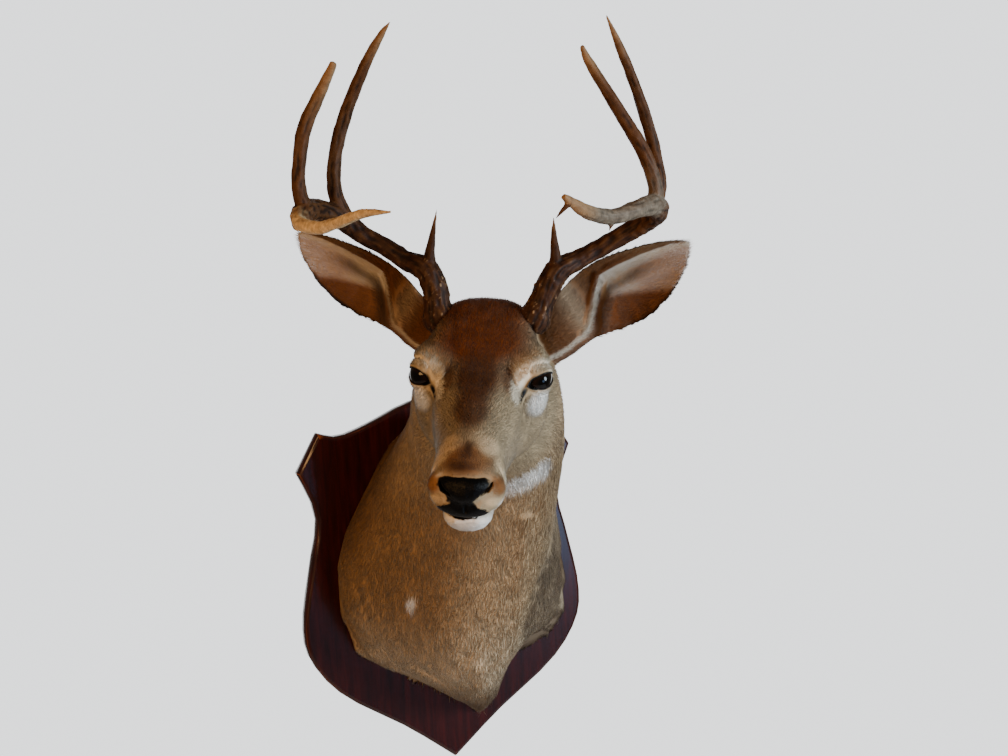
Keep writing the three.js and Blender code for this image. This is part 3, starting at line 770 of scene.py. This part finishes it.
# Creases and rolls of the trunk, in the part's frame: the run, its width and how far it is pushed out.
trunkLines = [
    ([(70, -232, 110), (54, -238, 48), (44, -226, 0), (48, -192, -50)], 11, -5.0),  # crease of the shoulder
    ([(82, -190, 60), (80, -180, 0), (76, -160, -48)], 26, 5.0),  # roll of the shoulder
    ([(-42, -204, -50), (-32, -186, -88), (-8, -142, -142)], 5, -4.5),  # crease of the brisket
    ([(-22, -200, -70), (-6, -172, -112)], 12, 4.0),  # roll of the brisket
    ([(-90, -128, -84), (-62, -140, -104)], 10, -5.0),  # armpit
    ([(-2, -326, 138), (6, -286, 82), (10, -262, 38)], 10, 2.2),  # line of the throat
]


def shapeTrunk(points, normals):
    for run, width, push in trunkLines:
        gap = alongRun(points / mm, run)
        points = points + normals * (push * mm * bell(gap, width))[:, None]
    return points


def coatDepths(points, ears):
    head = toHead(points)
    y, height = head[:, 1], points[:, 2] / mm
    depth = np.full(len(points), coatDepth["neck"])
    for name, share in (("chest", ease(100, -60, height)), ("crown", ease(130, 80, y)),
                        ("face", ease(60, 0, y)), ("muzzle", ease(-110, -150, y)), ("ear", ears["weight"])):
        depth += (coatDepth[name] - depth) * share
    wall = ease(-24 * mm, -40 * mm, points[:, 1])  # the cut edge at the board stays
    return depth * (1 - 0.9 * blackSkin(head)) * (0.3 + 0.7 * wall)


def smoothedTrunk(points, edges, gaps):  # the trunk smoothed, and the jaw run into the neck without a step
    calm = blurred(points, edges, skin["bodyPasses"])
    head = toHead(points)
    start = np.interp(head[:, 2], (20, 70), (28, 100))
    trunk = ease(0, 30, head[:, 1] - start) * ease(-22 * mm, -60 * mm, points[:, 1])
    for name in ("ear_left", "ear_right"):
        trunk = trunk * ease(0.006, 0.02, gaps[name])
    return over(points, calm, blurred(trunk, edges, 4))


def buildSkin():
    piece = placed(joinedFlesh(), "skin", skinFinish())
    largestIsland(applied(piece, "REMESH", mode="VOXEL", voxel_size=skin["voxel"]))
    thinBody(piece)
    mesh = piece.data
    for chosen in (inSocket, inMuzzle, inLids):
        refine(mesh, chosen)
    points, edges = places(mesh), edgesOf(mesh)
    gaps = partGaps(points)
    points = smoothedTrunk(settled(points, edges, skin["settle"]), edges, gaps)
    move(mesh, points)
    normals = normalsOf(mesh)
    ears = earFields(points, normals, gaps)
    points = points - normals * (coatDepths(points, ears) * mm)[:, None]
    head = shapeNose(shapeFace(toHead(points), unit(normals @ headAxes)))
    for side in both:
        head = shapeLids(head, side)
    points = shapeTrunk(fromHead(shapeEars(head, ears)), normals)
    rims = blurred(ears["rim"] * ears["weight"], edges, 2) * 1.6
    points = over(points, blurred(points, edges, skin["rimPasses"]), rims)  # rims of the ears made even
    move(mesh, points)
    normals = normalsOf(mesh)
    black = blackSkin(toHead(points))
    colours = coatColours(points, normals, earFields(points, normals, gaps))
    store(mesh, "coatColour", over(colours, coatTones["black"], black))
    store(mesh, "bareSkin", black)
    smoothShaded(mesh)
    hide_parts(*fleshNodes)
    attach(piece, "root")
    print("skin done", len(mesh.vertices), "points")
    return piece, gaps


skinPiece, skinGaps = buildSkin()

# Eyes


def buildEye(name, side):
    shape = bmesh.new()
    bmesh.ops.create_uvsphere(shape, u_segments=64, v_segments=40, radius=eye["radius"])
    points = np.array([vert.co for vert in shape.verts])
    across, rise, forward, distance = eyeView(points + eyeMiddle(side), side)
    bulge = eye["bulge"] * ease(11, 0, np.hypot(across, rise)) * (forward > 0)
    head = points * (1 + bulge / eye["radius"])[:, None] + eyeMiddle(side)
    for vert, place in zip(shape.verts, fromHead(head)):
        vert.co = place
    bmesh.ops.recalc_face_normals(shape, faces=shape.faces)
    mesh = meshFrom(shape, name)
    pupil = np.hypot(across / eye["pupil"][0], rise / eye["pupil"][1]) * 0.5
    store(mesh, "fromPupil", np.where(forward > 0, np.clip(pupil, 0, 1), 1.0))
    smoothShaded(mesh)
    ball = placed(mesh, name, eyeMaterial)
    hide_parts("eye_left" if side > 0 else "eye_right")
    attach(ball, "root")


eyeMaterial = eyeFinish()
buildEye("glass_eye_left", 1)
buildEye("glass_eye_right", -1)
print("eyes done")

# Antlers: each branch runs through stations (x, y, z, radius) in the head's frame, in millimetres.
antlerBranches = {
    "left": {
        "beam": [(46, 51, 42, 14), (51, 52, 52, 17), (56, 54, 64, 14.6), (62, 57, 80, 13.6),
                 (74, 62, 102, 13), (94, 72, 112, 10.5), (115, 79, 123, 10), (141, 80, 139, 10.3),
                 (163, 74, 155, 10.8), (174, 50, 169, 10.5), (169, 12, 184, 10.8), (153, -18, 186, 9.3),
                 (131, -42, 182, 7.8), (114, -60, 185, 7.4), (97, -84, 195, 6.4), (79, -104, 210, 3.2)],
        "brow": [(60, 60, 82, 10), (67, 63, 95, 8.4), (71, 60, 114, 6.2), (69, 54, 139, 3.8),
                 (68, 46, 163, 0.8)],
        "rear": [(158, 72, 144, 7), (174, 68, 184, 8.2), (171, 77, 219, 6.8), (160, 84, 256, 6.5),
                 (142, 86, 301, 5.6), (127, 81, 333, 4.4), (113, 74, 362, 1.2)],
        "front": [(166, 18, 174, 9), (168, 10, 200, 7.6), (155, 10, 235, 7.2), (130, 12, 273, 6.5),
                  (99, 10, 318, 4.8), (90, 5, 336, 2.4)],
        "splinter": [(85, -98, 203, 3), (81, -100, 199, 2.6), (77, -99, 194, 2), (72, -97, 187, 0.7)],
        "spur": [(126, -48, 178, 3), (124, -52, 172, 1.6), (122, -54, 168, 0.6)],
    },
    "right": {
        "beam": [(-43, 51, 38, 14), (-49, 52, 49, 17), (-52, 54, 61, 14.6), (-54, 57, 78, 13.6),
                 (-65, 62, 99, 13), (-88, 72, 106, 10.5), (-110, 78, 118, 9.8), (-132, 79, 129, 10),
                 (-156, 73, 147, 11.6), (-175, 48, 160, 12.2), (-183, 12, 165, 11.4), (-181, -18, 160, 7.6),
                 (-158, -43, 161, 6.8), (-138, -60, 169, 5.8), (-106, -88, 185, 4.6), (-76, -111, 192, 1.4)],
        "brow": [(-56, 60, 80, 10), (-60, 64, 92, 8.4), (-61, 60, 112, 6.2), (-58, 57, 134, 3.8),
                 (-52, 48, 167, 0.8)],
        "rear": [(-146, 74, 138, 8), (-162, 72, 176, 8), (-162, 80, 216, 7.4), (-149, 84, 263, 7),
                 (-128, 81, 310, 5.7), (-114, 77, 335, 4), (-103, 72, 350, 1.2)],
        "front": [(-180, 16, 160, 8.5), (-186, 9, 185, 7.4), (-186, 8, 210, 7), (-180, 10, 248, 7.6),
                  (-162, 10, 287, 6), (-148, 4, 314, 3.8)],
    },
}
branchNumbers = {"beam": 0, "brow": 1, "front": 3}
antler = {"step": 2.0, "sides": 20, "voxel": 1.35, "flute": 0.26, "grain": 0.3, "burr": 1.2, "pearlReach": 92}
# Pearls: how far apart, how wide and how tall the large and the small ones are, in millimetres.
pearls = [(8.6, 1.05, 1.1), (4.4, 0.8, 0.5)]
antlerTones = {name: tone(*display) for name, display in {
    "deep": (52, 26, 10), "brown": (90, 57, 30), "ridge": (106, 72, 40), "pearl": (190, 160, 122),
    "tip": (168, 132, 92), "amber": (228, 200, 152), "grey": (126, 116, 100), "groove": (24, 13, 7),
}.items()}


def branchLine(stations, step):  # evenly spaced places and radii on a smooth curve through the stations
    stations = np.array(stations, float)
    ends = np.vstack([2 * stations[0] - stations[1], stations, 2 * stations[-1] - stations[-2]])
    t = np.linspace(0, 1, 24, endpoint=False)[:, None]
    fine = []
    for a, b, c, d in zip(ends, ends[1:], ends[2:], ends[3:]):
        square, cube = 2 * a - 5 * b + 4 * c - d, 3 * b - a - 3 * c + d
        fine.append(0.5 * (2 * b + (c - a) * t + square * t ** 2 + cube * t ** 3))
    fine = np.vstack(fine + [stations[-1:]])
    run = np.concatenate([[0], np.cumsum(np.linalg.norm(np.diff(fine[:, :3], axis=0), axis=1))])
    at = np.linspace(0, run[-1], max(4, int(run[-1] / step)))
    return np.stack([np.interp(at, run, fine[:, k]) for k in range(4)], 1), at


def branchFrames(line):  # two directions across the branch, carried along it without twist
    along = unit(np.gradient(line[:, :3], axis=0))
    sides = [unit(np.cross(along[0], (0.3, 0.9, 0.2)))]
    for direction in along[1:]:
        sides.append(unit(sides[-1] - direction * (sides[-1] @ direction)))
    sides = np.array(sides)
    return sides, np.cross(along, sides)


def branchTube(line, first, second):
    shape = bmesh.new()
    rings = []
    for place, one, two in zip(line, first, second):
        radius = max(place[3], 0.5) * mm
        ring = bmesh.ops.create_circle(shape, segments=antler["sides"], radius=radius)["verts"]
        turn = Matrix((one, two, np.cross(one, two))).transposed().to_4x4()
        bmesh.ops.transform(shape, matrix=Matrix.Translation(Vector(place[:3]) * mm) @ turn, verts=ring)
        rings.append(list({edge for vert in ring for edge in vert.link_edges}))
        if len(rings) > 1:
            bmesh.ops.bridge_loops(shape, edges=rings[-1] + rings[-2])
    bmesh.ops.holes_fill(shape, edges=rings[0] + rings[-1], sides=0)
    bmesh.ops.recalc_face_normals(shape, faces=shape.faces)
    return meshFrom(shape, "branch")


def nearestBranch(head, lines):  # for each place the branch row that it sits on
    rows = {key: np.concatenate([line[key] for line in lines]) for key in lines[0]}
    best = []
    for some in np.split(head, range(4000, len(head), 4000)):
        best.append((np.linalg.norm(some[:, None, :] - rows["at"][None], axis=2) / rows["radius"]).argmin(1))
    return {key: values[np.concatenate(best)] for key, values in rows.items()}


def pearlsOn(points, chosen, spacing, seed):  # scattered bump centres, at least `spacing` apart
    kept = []
    for index in np.random.default_rng(seed).permutation(np.flatnonzero(chosen)):
        if all(np.linalg.norm(points[index] - points[other]) > spacing for other in kept):
            kept.append(index)
    return kept


def antlerRelief(head, rows, seed):  # flutes and grain, pearls, and the burr at the foot
    offset = head - rows["at"]
    one, two = ((offset * rows[key]).sum(1) for key in ("one", "two"))
    angle = np.arctan2(two, one)
    run, radius = rows["run"], rows["radius"]
    drift = 0.9 * np.sin(run / 47 + seed) + 0.5 * np.sin(run / 19)
    flute = sum(np.cos(k * angle + drift * k * 0.35 + 2.1 * k + seed) / count
                for count, k in enumerate((5, 8, 11), start=1))
    grain = waves(np.stack([one, two, run * 0.13], 1), 3.4, 40 + seed, 22)
    knots = waves(head, 9.0, 60 + seed, 22)
    size = ease(1.5, 4.0, radius) * np.clip(radius / 9, 0.25, 1.3)
    relief = size * (antler["flute"] * (flute * 0.7 + 0.5 * knots) + antler["grain"] * grain)
    onBeam, onBrow = (rows["branch"] == branchNumbers[name] for name in ("beam", "brow"))
    rough = (onBeam | onBrow & (run < 36)) * ease(antler["pearlReach"], 45, run)
    bumps = np.zeros(len(head))
    for shift, (spacing, wide, tall) in enumerate(pearls):
        for index in pearlsOn(head, rough > 0.15, spacing, seed + shift):
            large = 0.5 + 0.5 * (math.sin(index * 2.4) > 0.2)
            gap = np.linalg.norm((head - head[index]) / (1, 1, 2.2), axis=1) / large
            bumps = np.maximum(bumps, tall * large * rough[index] * bell(gap, wide))
    burr = onBeam * bell(run - 12, 5.5) * antler["burr"] * (0.4 + 0.6 * np.abs(np.sin(angle * 6.5 + seed)))
    return relief, bumps, burr


def antlerColours(head, rows, height, bumps, side):
    tones, run, toTip = antlerTones, rows["run"], rows["share"]
    onBeam, onBrow, onFront = (rows["branch"] == branchNumbers[name] for name in ("beam", "brow", "front"))
    colours = layered(np.tile(tones["brown"], (len(head), 1)), tones, [
        ("deep", onBeam * ease(260, 120, run) * 0.75),
        ("deep", onBrow * ease(90, 30, run) * 0.7),
        ("groove", ease(0.5, 0.15, height) * 0.7),
        ("ridge", ease(0.62, 0.98, height) * 0.5),
        ("tip", ~onBeam * ease(0.72, 0.99, toTip) * 0.7),
    ])
    mottle = (1 + waves(head, 7.0, 70) * 0.12 + waves(head, 2.6, 71) * 0.1)[:, None]
    if side > 0:
        pale = onBeam * ease(228, 262, run + 6 * waves(head, 16, 72)) * ease(400, 360, run)
        colours = over(colours, tones["grey"] * mottle, pale * 0.85)
        colours = layered(colours, tones, [("grey", onFront * ease(70, 20, run) * 0.5),
                                           ("tip", onBeam * ease(345, 375, run) * 0.85)])
    else:
        amber = onBeam * ease(258, 284, run + 5 * waves(head, 16, 73))
        colours = over(colours, tones["amber"] * mottle, amber * 0.92)
        colours = over(colours, tones["tip"], onFront * ease(0.45, 0.95, toTip) * 0.4)
    worn = ease(0.25, 0.8, bumps) * ease(-0.9, 0.5, waves(head, 13, 74)) * 0.85
    return layered(colours, tones, [("groove", ease(0.35, 0.05, height) * 0.35), ("pearl", worn)])


def buildAntler(name, branches, side, seed):
    tubes, lines = [], []
    for number, stations in enumerate(branches.values()):
        line, run = branchLine(stations, antler["step"])
        one, two = branchFrames(line)
        tubes.append(branchTube(line, one, two))
        lines.append({"at": line[:, :3], "radius": line[:, 3], "one": one, "two": two, "run": run,
                      "share": run / run[-1], "branch": np.full(len(run), number)})
    piece = placed(joined(tubes, name), name, antlerMaterial)
    mesh = applied(piece, "REMESH", mode="VOXEL", voxel_size=antler["voxel"] * mm)
    edges = edgesOf(mesh)
    head = blurred(places(mesh), edges, 5) / mm
    rows = nearestBranch(head, lines)
    move(mesh, head)
    normals = normalsOf(mesh)
    relief, bumps, burr = antlerRelief(head, rows, seed)
    relief = blurred(relief, edges, 1)
    height = np.clip(0.5 + relief / 1.4, 0, 1)
    move(mesh, fromHead(head + normals * (relief + bumps + burr)[:, None]))
    store(mesh, "antlerColour", antlerColours(head, rows, height, bumps, side))
    store(mesh, "ridge", height)
    smoothShaded(mesh)
    sideName = "left" if side > 0 else "right"
    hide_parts(*[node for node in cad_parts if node.startswith(f"antler_{sideName}")])
    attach(piece, "root")
    print(name, "done", len(mesh.vertices), "points")


antlerMaterial = antlerFinish()
buildAntler("left_antler", antlerBranches["left"], 1, 3)
buildAntler("right_antler", antlerBranches["right"], -1, 7)

# Coat. Cover is how many locks lie over each place, and most is the triangles of one piece.
lock = {"cover": 1.9, "sink": 0.35, "thick": 0.15, "jitter": 4, "sway": 6, "longFrom": 8.8, "patch": 0.003,
        "most": 195000, "quickShare": 0.08, "wall": -21.5}
# Length and width of the locks by place in millimetres, and their lift off the skin in degrees.
lockSizes = {
    "muzzle": (3.2, 0.5, 14), "face": (5.6, 0.66, 13), "crown": (9.0, 0.8, 14), "cheek": (7.5, 0.82, 11),
    "neck": (13.0, 0.86, 5.5), "chest": (15.0, 0.95, 5.5), "earBack": (4.6, 0.7, 7),
    "earInner": (7.5, 0.55, 12),
}
# Corners of a lock: where each is across and along it and its shade, then the faces between them.
lockShapes = {
    "long": {"across": (0.5, -0.5, 0, 0.42, -0.42, 0, 0), "along": (0, 0, 0, 0.5, 0.5, 0.5, 1),
             "shade": (0.86, 0.86, 0.88, 0.98, 0.98, 1.01, 1.05),
             "faces": [(0, 3, 5), (0, 5, 2), (1, 2, 5), (1, 5, 4), (0, 1, 4), (0, 4, 3), (3, 6, 5), (5, 6, 4),
                       (4, 6, 3), (0, 2, 1)]},
    "short": {"across": (0.5, -0.5, 0, 0), "along": (0, 0, 0, 1), "shade": (0.84, 0.84, 0.88, 1.07),
              "faces": [(0, 3, 2), (1, 2, 3), (0, 1, 3), (0, 2, 1)]},
}


def unwrapped(piece):  # lays the skin out flat by its own shape and returns each corner's place
    bpy.context.view_layer.objects.active = piece
    piece.select_set(True)
    piece.data.uv_layers.new(name="layout")
    bpy.ops.object.mode_set(mode="EDIT")
    bpy.ops.mesh.select_all(action="SELECT")
    bpy.ops.uv.smart_project(angle_limit=math.radians(66), island_margin=0.002)
    bpy.ops.object.mode_set(mode="OBJECT")
    layer = piece.data.uv_layers["layout"]
    layout = read(layer.uv, "vector", 2)
    piece.data.uv_layers.remove(layer)
    piece.select_set(False)
    return layout


def lockFields(points, ears):  # how long, how wide and how far lifted the locks are at each place
    head, body = toHead(points), points / mm
    y, below = head[:, 1], np.maximum(0, -head[:, 2] - 50)
    sizes = np.tile(np.array(lockSizes["neck"], float), (len(points), 1))
    for name, share in (("chest", ease(60, -90, body[:, 2])),
                        ("cheek", ease(112, 70, y + 0.4 * below)),
                        ("crown", ease(100, 70, y) * ease(25, 50, head[:, 2])),
                        ("face", ease(20, -24, y)),
                        ("muzzle", ease(-100, -146, y)),
                        ("face", near(mirroredAbs(head), (57, -14, 5), (30, 30, 30)) * 0.8),
                        ("earBack", ears["weight"] * ease(-0.2, 0.2, ears["facing"])),
                        ("earInner", ears["weight"] * ease(0.2, -0.2, ears["facing"]))):
        sizes += (np.array(lockSizes[name]) - sizes) * share[:, None]
    length, width, lift = sizes.T
    rim = ears["rim"] * ears["weight"]
    trimmed = 1 - 0.45 * ease(-60, -28, body[:, 1])  # short along the board
    return {"length": length * (1 - 0.55 * rim) * trimmed, "width": width, "lift": lift * (1 - 0.6 * rim)}


def combField(points, normals, ears):  # the way the hair lies
    head = toHead(points)
    x, y, z = head.T
    flow = np.tile(np.array((0.0, 0.42, -1.0)), (len(points), 1))
    back = headAxes @ np.array((0.0, 1.0, -0.22))
    flow = over(flow, back, ease(118, 66, y + 0.5 * np.maximum(0, -z - 40)))
    fromNose = unit(head - np.array((0, -196, -58))) @ headAxes.T
    flow = over(flow, fromNose, ease(62, 18, np.linalg.norm(head - np.array((0, -178, -58)), axis=1)))
    for side in both:
        offset = head - np.array((side * 55, -22, 5))
        share = 1.1 * ease(40, 22, np.linalg.norm(offset, axis=1))
        flow = flow + (unit(offset) @ headAxes.T) * share[:, None]
    rise = math.radians(ear["rise"])
    side = np.where(x > 0, 1.0, -1.0)
    level = np.ones(len(points))
    lengthwise = np.stack([side * math.cos(rise), 0 * side, level * math.sin(rise)], 1)
    crosswise = np.stack([-side * math.sin(rise), 0 * side, level * math.cos(rise)], 1)
    outward = np.clip(ears["across"] / 30, -1, 1) * ease(0.2, -0.2, ears["facing"]) * (1 - 0.8 * ears["rim"])
    flow = over(flow, (lengthwise + 0.4 * outward[:, None] * crosswise) @ headAxes.T, ears["weight"])
    return unit(flow - normals * (flow * normals).sum(1)[:, None])


def rooted(mesh, layout, gaps):  # where locks grow: place, normal, what belongs to the ears, layout place
    verts, loops = trianglesOf(mesh)
    points, normals = places(mesh), normalsOf(mesh)
    ears = earFields(points, normals, gaps)
    fields = lockFields(points, ears)
    bare = read(mesh.attributes["bareSkin"].data, "value", 1, np.float32)[:, 0]
    wanted = lock["cover"] / (0.5 * fields["length"] * fields["width"]) * (bare < 0.4)
    wanted *= points[:, 1] < lock["wall"] * mm
    share = np.cumsum(areasOf(points, verts) / mm ** 2 * wanted[verts].mean(1))
    count = int(share[-1] * (1.0))
    step = (np.arange(count) + random.random(count)) * share[-1] / count
    triangle = np.searchsorted(share, step).clip(0, len(share) - 1)
    a, b = random.random(count), random.random(count)
    flip = a + b > 1
    a, b = np.where(flip, 1 - a, a), np.where(flip, 1 - b, b)
    blend = np.stack([1 - a - b, a, b], 1)[:, :, None]

    def taken(values, corners):
        return (values.reshape(len(values), -1)[corners[triangle]] * blend).sum(1)

    gathered = {name: taken(values, verts)[:, 0] for name, values in ears.items()}
    return taken(points, verts), unit(taken(normals, verts)), gathered, taken(layout, loops)


def lockRows(at, normal, ears, comb, fields):  # the corners of every lock: root, middle and tip
    count = len(at)
    across = np.cross(normal, comb)
    swing = np.radians(lock["sway"]) * waves(at, 0.028, 21)
    swing += np.radians(lock["jitter"]) * random.normal(size=count)
    swing += np.radians(lock["sway"] * 0.5) * waves(at, 0.009, 22)
    swing *= 1 - ears["weight"] * (0.5 + 0.45 * ears["rim"])
    turn, hold = np.sin(swing)[:, None], np.cos(swing)[:, None]
    comb, across = comb * hold + across * turn, across * hold - comb * turn
    length = (fields["length"] * random.uniform(0.7, 1.25, count) * mm)[:, None]
    width = (fields["width"] * random.uniform(0.75, 1.2, count) * mm)[:, None]
    lift = np.radians(fields["lift"] * random.uniform(0.75, 1.25, count))[:, None]
    base = at - normal * lock["sink"] * mm
    thick = normal * width * lock["thick"]
    curl = random.normal(size=(count, 1)) * 0.05
    middle = base + (comb * np.cos(lift) + normal * np.sin(lift) + across * curl) * length * 0.5
    tip = base + (comb * np.cos(lift) + normal * np.sin(lift) * 0.82) * length
    root = [base + across * width / 2, base - across * width / 2, base + thick]
    middle = [middle + across * width * 0.42, middle - across * width * 0.42, middle + thick]
    return root, middle, [tip]


def lockMesh(name, kind, rows, tint, layout, material):
    shape = lockShapes[kind]
    count, corners = len(tint), len(rows)
    faces = np.array(shape["faces"], np.int32)
    corner = (faces[None] + np.arange(count)[:, None, None] * corners).reshape(-1)
    mesh = bpy.data.meshes.new(name)
    mesh.vertices.add(count * corners)
    mesh.vertices.foreach_set("co", np.stack(rows, 1).astype(np.float32).ravel())
    mesh.loops.add(len(corner))
    mesh.loops.foreach_set("vertex_index", corner)
    mesh.polygons.add(len(corner) // 3)
    mesh.polygons.foreach_set("loop_start", np.arange(0, len(corner), 3, dtype=np.int32))
    mesh.update(calc_edges=True)
    store(mesh, "coatColour", (tint[:, None, :] * np.array(shape["shade"])[None, :, None]).reshape(-1, 3))
    spread = np.stack([shape["across"], np.array(shape["along"]) - 0.5], 1)
    uv = (layout[:, None, :] + lock["patch"] * spread[None]).reshape(-1, 2)[corner]
    mesh.uv_layers.new(name="OFBake").uv.foreach_set("vector", uv.astype(np.float32).ravel())
    smoothShaded(mesh)
    piece = placed(mesh, name, material)
    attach(piece, "root")


def buildCoat():
    at, normal, ears, layout = rooted(skinPiece.data, unwrapped(skinPiece), skinGaps)
    fields = lockFields(at, ears)
    comb = combField(at, normal, ears)
    count = len(at)
    uneven = random.normal(size=count) * 0.065 + waves(at, 0.006, 31) * 0.04
    tint = np.clip(coatColours(at, normal, ears) * np.exp(uneven)[:, None], 0, 1)
    root, middle, tip = lockRows(at, normal, ears, comb, fields)
    kinds = {"short": root + tip, "long": root + middle + tip}
    isLong = fields["length"] * random.uniform(0.35, 1.0, count) > lock["longFrom"]
    y = toHead(at)[:, 1]
    inEar = ears["weight"] > 0.5
    material = coatFinish()
    total = 0
    for name, slot, chosen in (("coat_ear", "ear_coat", inEar),
                               ("coat_face", "face_coat", ~inEar & (y < -40)),
                               ("coat_crown", "face_coat", ~inEar & (y >= -40) & (y < 95)),
                               ("coat_body", "body_coat", ~inEar & (y >= 95))):
        for kind, rows in kinds.items():
            index = np.flatnonzero(chosen & (isLong == (kind == "long")))
            if not len(index):
                continue
            size = len(lockShapes[kind]["faces"])
            order = index[np.argsort(at[index, 0], kind="stable")]
            parts = math.ceil(len(order) * size / lock["most"])
            for number, share in enumerate(np.array_split(order, parts)):
                lockMesh(f"{name}_{kind}_{number + 1}", kind, [row[share] for row in rows], tint[share],
                         layout[share], material)
                total += len(share) * size
    print("coat done", count, "locks", total, "triangles")


buildCoat()

# Camera, floor and light
view = {"at": (-547, -1702, 459), "heading": 21.0, "pitch": -6.16, "roll": 3.04, "lens": 47.607}
lights = [
    {"name": "key", "at": (1.85, -2.25, 0.45), "size": 1.2, "power": 112, "colour": (0.78, 0.9, 1.0)},
    {"name": "lamp", "at": (-1.9, -1.9, 0.8), "size": 1.0, "power": 44, "colour": (1.0, 0.55, 0.22)},
    {"name": "window", "at": (1.0, -2.7, -0.35), "size": 0.9, "power": 13, "colour": (0.36, 0.58, 1.0)},
]
lightAim = (-0.05, -0.25, 0.2)
sky = {"aim": (0.356, 0.928, -0.107), "from": 0.8, "to": 0.895, "front": 0.17, "back": 1.9,
       "frontColour": (1.0, 0.8, 0.62), "backColour": (0.96, 0.98, 1.0)}
floor = {"z": -1.75, "size": 4.6}


def cameraFrame():
    heading, pitch, roll = (math.radians(view[key]) for key in ("heading", "pitch", "roll"))
    level = Vector((math.cos(heading), -math.sin(heading), 0))
    flat = Vector((math.sin(heading), math.cos(heading), 0))
    ahead = flat * math.cos(pitch) + Vector((0, 0, math.sin(pitch)))
    down = ahead.cross(level)
    right = math.cos(roll) * level + math.sin(roll) * down
    below = math.cos(roll) * down - math.sin(roll) * level
    return Matrix((right, -below, -ahead)).transposed().to_4x4()


def buildCamera():
    lens = given(bpy.data.cameras.new("camera"), lens=view["lens"], sensor_width=36)
    camera = bpy.data.objects.new("camera", lens)
    camera.matrix_world = Matrix.Translation(Vector(view["at"]) * mm) @ cameraFrame()
    bpy.context.scene.collection.objects.link(camera)
    bpy.context.scene.camera = camera


def buildLights():
    for settings in lights:
        lamp = given(bpy.data.lights.new(settings["name"], "AREA"), shape="DISK", size=settings["size"],
                     energy=settings["power"], color=settings["colour"])
        turn = (Vector(lightAim) - Vector(settings["at"])).to_track_quat("-Z", "Y").to_euler()
        holder = given(bpy.data.objects.new(settings["name"], lamp), location=settings["at"],
                       rotation_euler=turn)
        bpy.context.scene.collection.objects.link(holder)
    bpy.context.scene.world = studioWorld()


def studioWorld():  # a pale backdrop behind the mount, dim and warm towards the room in front of it
    studio = NodeTree(bpy.data.worlds.new("studio"), "Background")
    ahead = studio.node("ShaderNodeVectorMath", {"operation": "DOT_PRODUCT"},
                        {0: studio.node("ShaderNodeTexCoord"), 1: sky["aim"]}, out=1)
    spread = studio.node("ShaderNodeMapRange", {"interpolation_type": "SMOOTHSTEP"},
                         {"Value": ahead, "From Min": sky["from"], "From Max": sky["to"]})
    front, back = (colour4(np.array(sky[f"{side}Colour"]) * sky[side]) for side in ("front", "back"))
    return studio.shade(Color=studio.mix(front, back, spread))


def buildFloor():
    shape = bmesh.new()
    bmesh.ops.create_grid(shape, x_segments=1, y_segments=1, size=floor["size"] / 2)
    bmesh.ops.translate(shape, verts=shape.verts, vec=(0, 0, floor["z"]))
    ground = placed(meshFrom(shape, "floor"), "floor", floorFinish())


buildCamera()
buildLights()
buildFloor()
